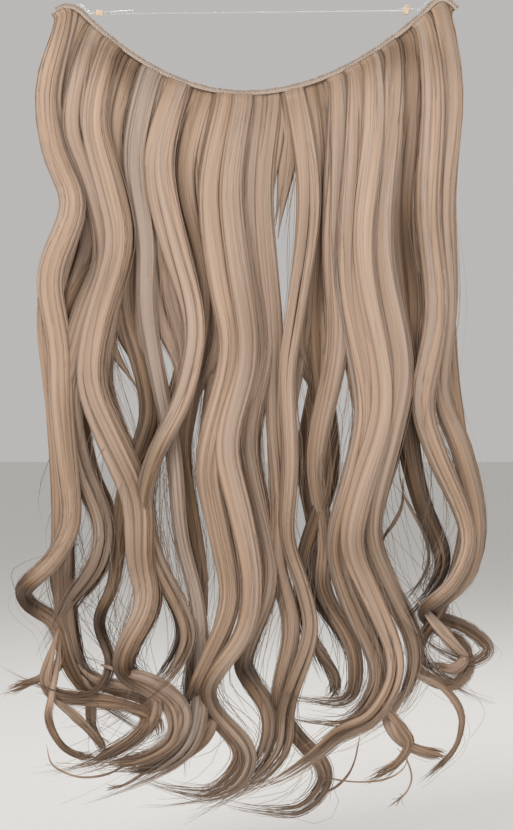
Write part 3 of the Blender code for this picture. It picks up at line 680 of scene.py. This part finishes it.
# shares of the run for each strand's sections: close together in bends and wide apart on straight runs
def placesOn(lock, count, starts, ends):
    rows = []
    for start, end in zip(np.broadcast_to(starts, ends.shape), ends):
        low, high = np.interp((start, end), lock["shares"], lock["effort"])
        rows.append(np.interp(np.linspace(low, high, count), lock["effort"], lock["shares"]))
    return np.stack(rows)


# a smooth wander between -1 and 1 for each strand along its run
def slowWander(places, wavesLow, wavesHigh):
    total = np.zeros_like(places)
    for weight in (0.6, 0.4):
        waves = rng.uniform(wavesLow, wavesHigh, (len(places), 1))
        phase = rng.uniform(0, 2 * np.pi, (len(places), 1))
        total += weight * np.sin(2 * np.pi * waves * places + phase)
    return total


# the smaller locks that one is made of: they wind slowly round each other and part at its tip
def partsOf(lock, count, fan=1.0):
    shares = lock["shares"]
    winding = rng.uniform(-partLook["winding"], partLook["winding"])
    first = rng.uniform(0, 2 * np.pi)
    parts = []
    for i in range(count):
        angle = (first + 2 * np.pi * i / count + winding * shares**1.2
                 + 0.5 * slowWander(shares[None], 0.5, 1.6)[0])
        parting = 1 + fan * (
            0.28 * slowWander(shares[None], 1.0, 2.5)[0]
            + partLook["parting"] * easedStep((shares - partLook["partsFrom"]) / 0.35))
        reach = partLook["reach"] * parting * (0.75 + 0.25 * easedStep(shares / 0.2))
        across = (np.cos(angle) * reach * lock["halfWidth"])[:, None]
        deep = (np.sin(angle) * reach * lock["halfDepth"])[:, None]
        path = lock["path"] + lock["side"] * across + lock["front"] * deep
        swell = 1 + 0.16 * slowWander(shares[None], 1.0, 3.0)[0]
        halfWidth = lock["halfWidth"] * rng.uniform(*partLook["widths"]) * swell
        halfDepth = lock["halfDepth"] * partLook["thickness"]
        end = max(0.80, min(1.04, 1.02 - rng.exponential(0.05)))
        ash = lock["ash"] + rng.normal(0, 0.15)
        part = lockOf(path, halfWidth, halfDepth, 0.0, ash, end, None, shares)
        part["side"], part["front"] = lock["side"], lock["front"]
        # each part gets a little random tone of its own, and painted shade where it lies towards the back of the
        # lock
        part["toneAndShadeRow"] = lock["toneAndShadeRow"] + rng.normal(0, 0.045) + np.sin(angle) * 0.05
        parts.append(part)
    return parts


# arrays for closed tubes: one for each strand, with its sections' corners, faces, uv, tone and ash
def tubeMesh(centres, halfAcross, halfDeep, sides, tones, ashes, acrossAxis, deepAxis):
    strands, sections = centres.shape[:2]
    angles = 2 * np.pi * np.arange(sides) / sides
    ring = np.cos(angles)[None, None, :, None] * acrossAxis[:, :, None, :] * halfAcross[:, :, None, None]
    ring = ring + np.sin(angles)[None, None, :, None] * deepAxis[:, :, None, :] * halfDeep[:, :, None, None]
    verts = (centres[:, :, None, :] + ring).reshape(-1, 3)
    index = np.arange(strands * sections * sides).reshape(strands, sections, sides)
    turned = np.roll(index, -1, axis=2)
    quads = np.stack((index[:, :-1], turned[:, :-1], turned[:, 1:], index[:, 1:]), axis=-1).reshape(-1, 4)
    caps = np.concatenate((index[:, 0, ::-1], index[:, -1]), axis=0)
    steps = np.linalg.norm(np.diff(centres, axis=1), axis=2)
    along = np.concatenate((np.zeros((strands, 1)), np.cumsum(steps, axis=1)), axis=1)
    along = along + rng.uniform(0, 0.5, (strands, 1))
    girth = (halfAcross.max(axis=1) * np.pi)[:, None, None]
    first = rng.uniform(0, 0.5, (strands, 1, 1)) * np.ones((1, sections, 1))
    left = first + girth * np.arange(sides) / sides
    right = first + girth * (np.arange(sides) + 1) / sides
    v = along[:, :, None] * np.ones(sides)
    low, high = slice(None, -1), slice(1, None)
    corners = [(left, low), (right, low), (right, high), (left, high)]
    quadUv = np.stack([np.stack((u[:, rows], v[:, rows]), -1) for u, rows in corners], axis=3)
    capUv = np.concatenate([np.stack((left[:, row], v[:, row]), -1) for row in (0, -1)], axis=0)
    return {
        "verts": verts, "quads": quads, "caps": caps,
        "quadUv": quadUv.reshape(-1, 2), "capUv": capUv.reshape(-1, 2),
        "tone": np.repeat(tones.reshape(-1), sides), "ash": np.repeat(np.repeat(ashes, sections), sides),
    }


# joins tube arrays to one mesh object
def objectFromTubes(name, parts, material):
    offsets = np.cumsum([0] + [len(part["verts"]) for part in parts])
    verts = np.concatenate([part["verts"] for part in parts])
    faces, uvs, sizes = [], [], []
    for part, offset in zip(parts, offsets):
        for key, uvKey in (("quads", "quadUv"), ("caps", "capUv")):
            faces.append((part[key] + offset).reshape(-1))
            sizes.append(np.full(len(part[key]), part[key].shape[1]))
            uvs.append(part[uvKey])
    loops, sizes, uvs = np.concatenate(faces), np.concatenate(sizes), np.concatenate(uvs)
    mesh = bpy.data.meshes.new(name)
    mesh.vertices.add(len(verts))
    mesh.vertices.foreach_set("co", verts.astype(np.float32).reshape(-1))
    mesh.loops.add(len(loops))
    mesh.loops.foreach_set("vertex_index", loops.astype(np.int32))
    mesh.polygons.add(len(sizes))
    mesh.polygons.foreach_set("loop_start", (np.cumsum(sizes) - sizes).astype(np.int32))
    mesh.update(calc_edges=True)
    layer = mesh.uv_layers.new(name="hairUv")
    layer.uv.foreach_set("vector", uvs.astype(np.float32).reshape(-1))
    for key in ("tone", "ash"):
        values = np.concatenate([part[key] for part in parts]).astype(np.float32)
        mesh.attributes.new(key, "FLOAT", "POINT").data.foreach_set("value", values)
    mesh.polygons.foreach_set("use_smooth", np.ones(len(sizes), bool))
    mesh.materials.append(material)
    obj = bpy.data.objects.new(name, mesh)
    bpy.context.scene.collection.objects.link(obj)
    print(name, int((sizes - 2).sum()), "triangles")
    return obj


# thin at the ends of a strand, over these shares of the run
def endFade(places, starts, ends, atStart, atEnd):
    grown = easedStep((places - starts[:, None]) / atStart)
    gone = easedStep((ends[:, None] - places) / atEnd)
    return 0.10 + 0.90 * np.minimum(grown, gone)


# one smooth tube for a part of a lock
def ribbonOf(part, sections, sides):
    ends = np.full(1, part["end"])
    places = placesOn(part, sections, np.zeros(1), ends)
    fade = np.minimum(1.0, 0.04 + 0.96 * easedStep((ends[:, None] - places) / 0.13) ** 0.8)
    half, deep = (alongLock(part, places, key) * fade for key in ("halfWidth", "halfDepth"))
    tones = toneOf(part, places, 0.0)
    axes = (alongLock(part, places, "side"), alongLock(part, places, "front"))
    return tubeMesh(alongLock(part, places, "path"), half, deep, sides, tones, np.full(1, part["ash"]), *axes)


# fine hairs round a part of a lock: they wander, and fray towards its tip
def strandsRound(part, count, sections, radius, reach, stray):
    starts = np.zeros(count)
    ends = np.clip(part["end"] + rng.normal(0, 0.035, count), starts + 0.1, part["shares"][-1])
    places = placesOn(part, sections, starts, ends)
    angle = rng.uniform(0, 2 * np.pi, (count, 1)) + 0.9 * slowWander(places, 0.5, 1.5)
    far = rng.uniform(0.80, reach, (count, 1)) + (
        stray * slowWander(places, 1.0, 3.5) * easedStep(places / 0.2))
    fray = 1 + 0.8 * easedStep((places - 0.75) / 0.3) * rng.uniform(0.2, 1.5, (count, 1))
    across = np.cos(angle) * far * fray * alongLock(part, places, "halfWidth")
    deep = np.sin(angle) * far * fray * alongLock(part, places, "halfDepth")
    side, front = alongLock(part, places, "side"), alongLock(part, places, "front")
    centres = alongLock(part, places, "path") + side * across[:, :, None] + front * deep[:, :, None]
    frayed = easedStep((places - ends[:, None] + 0.22) / 0.26) ** 2 * fineLook["fray"]
    centres = centres + rng.normal(0, 1, (count, 1, 3)) * (1.0, 0.6, 1.0) * frayed[:, :, None]
    own = rng.normal(-0.03, 0.085, (count, 1))
    ashes = np.clip(part["ash"] + rng.normal(0, 0.2, count), 0, 1)
    return threads(
        centres, radius, endFade(places, starts, ends, 0.01, 0.05), toneOf(part, places, own), ashes)


# three-sided tubes along rows of points
def threads(centres, radius, fade, tones, ashes):
    run = unitRows(np.gradient(centres, axis=1))
    across = unitRows(np.cross(run, depthAxis + 0.13))
    deep = unitRows(np.cross(across, run))
    half = radius * rng.uniform(0.75, 1.25, (len(centres), 1)) * fade
    return tubeMesh(centres, half, half, 3, tones, ashes, across, deep)


# a value part of the way from one lock to the next
def between(first, second, weight, places, key):
    ends = alongLock(first, places, key), alongLock(second, places, key)
    if ends[0].ndim > weight.ndim:
        weight = weight[..., None]
    return ends[0] * (1 - weight) + ends[1] * weight


# small locks that close the sheet between two neighbours and join one of them further down
def fillersBetween(first, second, count, last):
    fillers = []
    shares = np.linspace(0, 1, 90)
    for i in range(count):
        weight = (i + 1) / (count + 1) + (
            0.10 * slowWander(shares[None], 0.8, 2.0)[0] * easedStep(shares / 0.1))
        joined = rng.integers(0, 2)
        weight = weight + (joined - weight) * 0.85 * easedStep((shares - last * 0.75) / 0.22)
        path = between(first, second, weight, shares, "path")
        path[:, 1] += fillerLook["behind"]
        path[:, 1] += fillerLook["scatter"] * rng.uniform(0.2, 1.2) * easedStep(shares / 0.15)
        gap = np.linalg.norm(alongLock(first, shares, "path") - alongLock(second, shares, "path"), axis=1)
        halfWidth = np.clip(gap * fillerLook["fill"], *fillerLook["halfWidths"]) * (1 - 0.6 * easedStep((shares - last) / 0.4))
        halfDepth = halfWidth * fillerLook["flatness"] * (0.2 + 0.8 * easedStep(shares / 0.3))
        part = lockOf(path, halfWidth, halfDepth, 0.0, 0.15, last + rng.uniform(0.05, 0.2), None, shares)
        # fillers take their neighbours' tone and painted shade, made a little darker as painted shade for lying
        # behind them, plus a random tone of their own
        part["toneAndShadeRow"] = between(first, second, weight, shares, "toneAndShadeRow") + 0.03 + rng.normal(0, 0.04)
        part["side"] = between(first, second, weight, shares, "side")
        part["front"] = between(first, second, weight, shares, "front")
        fillers.append(part)
    return fillers


# loose hairs that drift between two neighbouring locks
def looseBetween(first, second, count, sections, opened):
    starts = np.where(rng.uniform(size=count) < 0.5, 0.02, opened * rng.uniform(0.6, 1.0, count))
    ends = rng.uniform(0.72, 1.03, count)
    places = starts[:, None] + (ends - starts)[:, None] * np.linspace(0, 1, sections)
    weight = rng.uniform(-0.05, 1.05, (count, 1)) + 0.35 * slowWander(places, 0.6, 2.2)
    centres = between(first, second, weight, places, "path")
    ripple = np.stack([slowWander(places, 2, 6) for _ in range(3)], axis=-1)
    grown = looseLook["ripple"] + looseLook["lowRipple"] * easedStep((places - 0.3) / 0.6)
    centres = centres + ripple * grown[:, :, None]
    tones = between(first, second, weight, places, "toneAndShadeRow") + rng.normal(0, 0.09, (count, 1))
    ashes = rng.uniform(0.1, 0.7, count)
    return threads(centres, looseLook["radius"], endFade(places, starts, ends, 0.03, 0.06), tones, ashes)


# single hairs that stand off the sides and the ends in long thin bows
def flyaways(count, sections):
    rows = []
    for name in rng.choice(list(locks), count):
        lock = locks[name]
        start = rng.uniform(0.02, 0.75)
        end = min(start + rng.uniform(0.2, 0.6), lock["shares"][-1])
        places = start + (end - start) * np.linspace(0, 1, sections)[None]
        outward = np.sign(alongLock(lock, places, "path")[0, 0, 0]) * rng.uniform(-0.3, 1.0)
        bow = np.sin(np.pi * np.linspace(0, 0.85, sections)) * rng.uniform(*flyLook["bow"])
        off = np.stack((bow * outward, bow * rng.normal(0, 0.5), bow * rng.normal(0, 0.3)), axis=-1)
        ripple = np.stack([slowWander(places, 1, 4)[0] for _ in range(3)], axis=-1) * flyLook["ripple"]
        rows.append(alongLock(lock, places, "path")[0] + off + ripple)
    centres = np.stack(rows)
    fade = np.ones(centres.shape[:2])
    tones = np.full(centres.shape[:2], 0.25)
    return threads(centres, flyLook["radius"], fade, tones, rng.uniform(0.2, 0.8, count))


partLook = {
    "parts": 7, "forkParts": 3, "sections": 62, "sides": 8, "forkSections": 26, "winding": 2.2, "reach": 0.56,
    "parting": 1.1, "partsFrom": 0.72, "widths": (0.36, 0.58), "thickness": 0.34,
}
fineLook = {
    "perPart": 6, "sections": 44, "forkSections": 24, "radius": 0.00018, "reach": 1.25, "stray": 0.18,
    "fray": 0.0022,
}
fillerLook = {
    "perGap": 3, "last": 0.40, "behind": 0.0008, "sections": 34, "sides": 6, "fine": 4, "fineSections": 34,
    "scatter": 0.0045, "fill": 0.45, "halfWidths": (0.0022, 0.0055), "flatness": 0.35,
}
looseLook = {"perGap": 26, "sections": 38, "radius": 0.00014, "opened": 0.35, "ripple": 0.0010, "lowRipple": 0.0025}
curlLook = {
    "wideParts": 4, "thinParts": 1, "wideFrom": 0.85, "sections": 34, "fan": 0.6,
    "fine": 9, "fineSections": 30, "reach": 1.5, "stray": 0.3,
}
flyLook = {"count": 90, "sections": 26, "radius": 0.00010, "bow": (0.006, 0.017), "ripple": 0.0015}
lockGroups = {
    "Left": (
        "leftEdge", "leftSecond", "leftThird", "leftFourth", "leftFlick", "leftPoint",
        "backLeftEdge", "backLeft"),
    "LeftInner": ("leftFifth", "leftSixth", "grey", "midLeft", "backLeftInner", "backMidLeft"),
    "Middle": ("midBehind", "bigLeft", "bigRight", "centreThin", "gapLeft", "backMiddle", "backGapLeft"),
    "RightInner": (
        "gapRight", "gapShade", "rightMid", "broadLeft", "broadMiddle", "lowPoint",
        "backGapRight", "backBroad"),
    "Right": (
        "broadRight", "rightShade", "rightFront", "rightSecond", "rightEdge", "rightTendril", "rightScoop",
        "backRight", "backRightEdge"),
}
openPairs = {("gapLeft", "gapRight"): 0.07}

locks = layLocks()
curls = dict(layCurls())
print(len(locks), "locks and", len(curls), "curls laid")
forkNames = [row["name"] for row in forkTable]
frontNames = [row["name"] for row in lockTable]
nextTo = dict(zip(frontNames, frontNames[1:]))
lockHair = hairMaterial("lockHair", True)
fineHair = hairMaterial("fineHair", False)


def joinHair(name, tubes, material):
    piece = objectFromTubes(name, tubes, material)
    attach(piece, "root")
    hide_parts("hair")


def makeGroup(group, names):
    ribbons, fines, loose = [], [], []
    around = (fineLook["radius"], fineLook["reach"], fineLook["stray"])
    for name in names:
        lock = locks[name]
        fork = name in forkNames
        sections = partLook["forkSections"] if fork else partLook["sections"]
        fineSections = fineLook["forkSections"] if fork else fineLook["sections"]
        for part in partsOf(lock, partLook["forkParts"] if fork else partLook["parts"]):
            ribbons.append(ribbonOf(part, sections, partLook["sides"]))
            fines.append(strandsRound(part, fineLook["perPart"], fineSections, *around))
        if name in nextTo:
            other = locks[nextTo[name]]
            last = openPairs.get((name, nextTo[name]), fillerLook["last"])
            for part in fillersBetween(lock, other, fillerLook["perGap"], last):
                ribbons.append(ribbonOf(part, fillerLook["sections"], fillerLook["sides"]))
                fines.append(strandsRound(part, fillerLook["fine"], fillerLook["fineSections"], *around))
            count = looseLook["perGap"] // (3 if last < 0.2 else 1)
            loose.append(looseBetween(lock, other, count, looseLook["sections"], looseLook["opened"]))
    joinHair("locks" + group, ribbons, lockHair)
    joinHair("strands" + group, fines, fineHair)
    joinHair("loose" + group, loose, fineHair)


def makeCurls():
    ribbons, fines = [], []
    around = (fineLook["radius"], curlLook["reach"], curlLook["stray"])
    for row in curlTable:
        wide = row["width"] > curlLook["wideFrom"]
        count = curlLook["wideParts"] if wide else curlLook["thinParts"]
        for part in partsOf(curls[row["name"]], count, curlLook["fan"]):
            ribbons.append(ribbonOf(part, curlLook["sections"], partLook["sides"]))
            fines.append(strandsRound(part, curlLook["fine"], curlLook["fineSections"], *around))
    joinHair("locksCurls", ribbons, lockHair)
    joinHair("strandsCurls", fines, fineHair)
    joinHair("flyaways", [flyaways(flyLook["count"], flyLook["sections"])], fineHair)


for group, names in lockGroups.items():
    makeGroup(group, names)
makeCurls()


# the weft, the clear line and its two beads
threadLook = {"pitch": 0.0021, "rise": 0.00075, "radius": 0.00036, "low": 0.00045, "chainLow": 0.0012}
foldLook = {"high": 0.00105, "radius": 0.00072, "wobble": 0.16, "bodyLow": 0.0003, "bodySize": (0.38, 0.34)}


# places evenly spaced along the band, with the direction down across it
def bandRun(count):
    shares = np.linspace(-1, 1, 600)
    lengths = runLengths(np.array([bandPoint(share) for share in shares]))
    even = np.interp(np.linspace(0, lengths[-1], count), lengths, shares)
    return np.array([bandPoint(share) for share in even]), np.array([bandDown(share) for share in even])


# arrays for one tube along a row of points, upright to the front
def plainTube(centres, halfAcross, halfDeep, sides):
    centres = centres[None]
    run = unitRows(np.gradient(centres, axis=1))
    across = unitRows(np.cross(run, depthAxis))
    deep = unitRows(np.cross(across, run))
    half = np.ones(centres.shape[:2])
    return tubeMesh(centres, half * halfAcross, half * halfDeep, sides, half * 0.3, np.zeros(1), across, deep)


def makeWeft():
    body, thread = [], []
    middle, down = bandRun(150)
    tall, deep = foldLook["bodySize"]
    body.append(plainTube(middle + down * foldLook["bodyLow"], weft["height"] * tall, weft["depth"] * deep, 10))
    middle, down = bandRun(260)
    wobble = 1 + foldLook["wobble"] * slowWander(np.linspace(0, 1, 260)[None], 30, 60)
    lift = (foldLook["high"] + 0.00015 * slowWander(np.linspace(0, 1, 260)[None], 12, 30)[0])[:, None]
    body.append(plainTube(middle - down * lift, foldLook["radius"] * wobble, foldLook["radius"] * wobble, 8))
    length = runLengths(middle)[-1]
    turns = round(length / threadLook["pitch"])
    middle, down = bandRun(turns * 6 + 1)
    phase = 2 * np.pi * np.arange(turns * 6 + 1) / 6
    for face in (-1, 1):
        rise = (np.arcsin(np.sin(phase)) / (np.pi / 2) * threadLook["rise"] * face)[:, None]
        out = (np.cos(phase) * 0.0001 + weft["depth"] * 0.36)[:, None] * face
        centres = middle + down * (threadLook["low"] + rise) + depthAxis * out
        thread.append(plainTube(centres, threadLook["radius"], threadLook["radius"] * 0.8, 6))
        chain = middle + down * (threadLook["chainLow"] + 0.00012 * np.sin(phase)[:, None]) + (
            depthAxis * out * 0.95)
        thread.append(plainTube(chain, threadLook["radius"] * 0.8, threadLook["radius"] * 0.8, 6))
    for name, tubes, material in (
            ("weftFold", body, foldMaterial()), ("weftThread", thread, threadMaterial())):
        piece = objectFromTubes(name, tubes, material)
        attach(piece, "root")
        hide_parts("weft_band")


def foldMaterial():
    material, start = newMaterial("foldedHair", 0.5)
    grain = streakNoise(start, 400.0, 900.0)
    feed(material, "Base Color", grain.ramp(((0.3, (0.30, 0.235, 0.19)), (0.7, (0.50, 0.40, 0.33)))))
    bumped(material, start, grain, 0.5, 0.0003)
    return material


def threadMaterial():
    material, start = newMaterial("creamThread", 0.62)
    grain = streakNoise(start, 3000.0, 1500.0)
    feed(material, "Base Color", grain.ramp(((0.25, (0.56, 0.45, 0.37)), (0.75, (0.72, 0.61, 0.52)))))
    bumped(material, start, grain, 0.4, 0.0001)
    return material


line = {
    "diameter": 0.0006, "lap": 0.0085, "tilt": 0.0011, "pairGap": 0.0005,
    "leftTailEnd": 0.0185, "rightTailEnd": 0.0040, "meltedRadius": 0.0011, "meltedPlace": 0.0046,
}
beadTable = tableOf("name node end inset size lean", (
    ("crimpBeadLeft", "crimp_bead_left", -1, 0.0115, (0.0052, 0.0032, 0.0043), 6),
    ("crimpBeadRight", "crimp_bead_right", 1, 0.0115, (0.0036, 0.0032, 0.0059), 15),
))


def lineEnds():
    left = bandPoint(-weft["tailStarts"]) + np.array((0, 0, -line["tilt"]))
    right = bandPoint(weft["tailStarts"]) + np.array((0, 0, line["tilt"]))
    return left, right


def lineHeight(x):
    left, right = lineEnds()
    return left[2] + (right[2] - left[2]) * (x - left[0]) / (right[0] - left[0])


# the line where it is sewn along the band's upper edge, from where it meets the band outwards
def alongBand(end, offBand, aboveLine):
    points = []
    for share in np.arange(weft["tailStarts"] * 0.7, 1, 0.002):
        if points and np.linalg.norm(points[0] - points[-1]) >= line["lap"]:
            break
        place = bandPoint(end * share) - bandDown(end * share) * offBand
        if points or place[2] >= lineHeight(place[0]) + aboveLine:
            points.append(place)
    return points


# one end of the line, from its lower run round the fold on the band to its upper run
def lineEnd(end):
    beside = weft["height"] / 2 + weft["clearance"] + line["diameter"] / 2
    apart = line["diameter"] + line["pairGap"]
    lower = alongBand(end, beside, -apart / 2)
    upper = alongBand(end, beside + apart, apart / 2)
    outward = unitRows(lower[-1] - lower[-2])
    fold = (lower[-1] + upper[-1]) / 2 + outward * apart / 2
    return [*lower, fold, *reversed(upper)]


def makeLine():
    left, right = lineEnds()
    apart = (line["diameter"] + line["pairGap"]) / 2
    leftBead, rightBead = left[0] + beadTable[0]["inset"], right[0] - beadTable[1]["inset"]
    halfLeft, halfRight = beadTable[0]["size"][0] / 2, beadTable[1]["size"][0] / 2

    def onLine(x, side, lift=0.0):
        return np.array((x, 0, lineHeight(x) + side * apart + lift))

    points = [onLine(leftBead + halfLeft + line["leftTailEnd"], 1, apart * 1.5)]
    points += [onLine(leftBead + halfLeft, 1), onLine(leftBead - halfLeft, 1), *reversed(lineEnd(-1))]
    points += [
        onLine(x, -1) for x in (leftBead - halfLeft, leftBead + halfLeft, left[0] * 0.5, 0, right[0] * 0.5)]
    points += [onLine(rightBead - halfRight, -1), onLine(rightBead + halfRight, -1), *lineEnd(1)]
    points += [onLine(rightBead + halfRight, 1), onLine(rightBead - halfRight, 1)]
    points.append(onLine(rightBead - halfRight - line["rightTailEnd"], 1, apart * 1.5))
    clear = {"Transmission Weight": 0.55, "IOR": 1.5, "Base Color": (0.80, 0.80, 0.79, 1)}
    material, start = newMaterial("clearNylon", 0.16, clear)
    half = line["diameter"] / 2
    piece = objectFromTubes("clearLine", [plainTube(np.array(points), half, half, 10)], material)
    bpy.ops.object.select_all(action="DESELECT")
    place = onLine(leftBead + line["meltedPlace"], 0.4)
    bpy.ops.mesh.primitive_uv_sphere_add(
        segments=20, ring_count=12, radius=line["meltedRadius"], location=place)
    drop = bpy.context.object
    drop.name = "meltedEnd"
    drop.scale = (1.25, 0.8, 0.85)
    bpy.ops.object.transform_apply(location=True, rotation=True, scale=True)
    bpy.ops.object.shade_smooth()
    drop.data.materials.append(material)
    for item in (piece, drop):
        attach(item, "root")
        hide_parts("head_wire")


def beadMaterial():
    material, start = newMaterial("creamEnamel", 0.34, {"Coat Weight": 0.25})
    place = start.node("ShaderNodeTexCoord", out=3)
    wear = start.node("ShaderNodeTexNoise", None, {"Vector": place, "Scale": 900.0, "Detail": 3.0})
    feed(material, "Base Color", wear.ramp(((0.35, (0.62, 0.46, 0.33)), (0.6, (0.80, 0.66, 0.50)))))
    feed(material, "Roughness", wear.spread(0.3, 0.7, 0.28, 0.5))
    bumped(material, start, wear, 0.3, 0.0001)
    return material


beadLook = {"rim": 0.0007, "dent": 0.00035, "softness": 0.0004}


# crimp beads: blocks with soft edges, pressed in on the front and the back
def makeBeads():
    ends = lineEnds()
    material = beadMaterial()
    for row in beadTable:
        x = ends[0][0] + row["inset"] if row["end"] < 0 else ends[1][0] - row["inset"]
        bpy.ops.mesh.primitive_cube_add(size=1)
        bead = bpy.context.object
        bead.name = row["name"]
        bead.scale = row["size"]
        bpy.ops.object.transform_apply(location=False, rotation=False, scale=True)
        for face in bead.data.polygons:
            face.select = abs(face.normal.y) > 0.9
        bpy.ops.object.mode_set(mode="EDIT")
        bpy.ops.mesh.select_mode(type="FACE")
        bpy.ops.mesh.inset(thickness=beadLook["rim"], depth=-beadLook["dent"])
        bpy.ops.mesh.select_all(action="SELECT")
        bpy.ops.mesh.bevel(offset=beadLook["softness"], segments=3, affect="EDGES")
        bpy.ops.object.mode_set(mode="OBJECT")
        bead.rotation_euler = (0, math.radians(row["lean"]), 0)
        bead.location = (x, 0, lineHeight(x))
        bpy.ops.object.transform_apply(location=True, rotation=True, scale=True)
        bpy.ops.object.shade_smooth()
        bead.data.materials.append(material)
        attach(bead, "root")
        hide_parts(row["node"])


makeWeft()
makeLine()
makeBeads()
print("weft, line and beads made")


stageLook = {"floorZ": -0.535, "halfSize": 14.0, "worldStrength": 0.50, "worldColour": (0.98, 0.96, 0.94, 1)}


# a wide pale floor with no wall, so that the piece can be seen from all round
def makeStage():
    size = 2 * stageLook["halfSize"]
    bpy.ops.mesh.primitive_plane_add(size=size, location=(0, 0, stageLook["floorZ"]))
    floor = bpy.context.object
    floor.name = "paleFloor"
    bpy.ops.object.transform_apply(location=True, rotation=True, scale=True)
    material, start = newMaterial("palePaper", 0.9)
    place = start.node("ShaderNodeTexCoord", out=3)
    grain = start.node("ShaderNodeTexNoise", None, {"Vector": place, "Scale": 180.0, "Detail": 2.0})
    feed(material, "Base Color", grain.ramp(((0.0, (0.80, 0.79, 0.77)), (1.0, (0.86, 0.85, 0.83)))))
    floor.data.materials.append(material)


lightTable = tableOf("name place size power", (
    ("keyLight", (-1.1, -1.7, 1.1), 1.1, 24),
    ("fillLight", (1.5, -1.6, 0.1), 1.6, 8),
    ("hairLight", (0.5, 0.9, 1.3), 0.9, 12),
))


def makeLights():
    for row in lightTable:
        bpy.ops.object.light_add(type="AREA", location=row["place"])
        lamp = bpy.context.object
        lamp.name = row["name"]
        lamp.data.size = row["size"]
        lamp.data.energy = row["power"]
        target = np.array((0, 0, -0.25)) - np.array(row["place"])
        lamp.rotation_euler = (
            math.atan2(math.hypot(target[0], target[1]), -target[2]), 0,
            math.atan2(target[0], -target[1]) + math.pi,
        )
    world = bpy.data.worlds.new("studioWorld")
    world.use_nodes = True
    world.node_tree.nodes["Background"].inputs["Color"].default_value = stageLook["worldColour"]
    world.node_tree.nodes["Background"].inputs["Strength"].default_value = stageLook["worldStrength"]
    bpy.context.scene.world = world
    bpy.context.scene.view_settings.view_transform = "Standard"


makeStage()
makeLights()
print("stage and lights set")
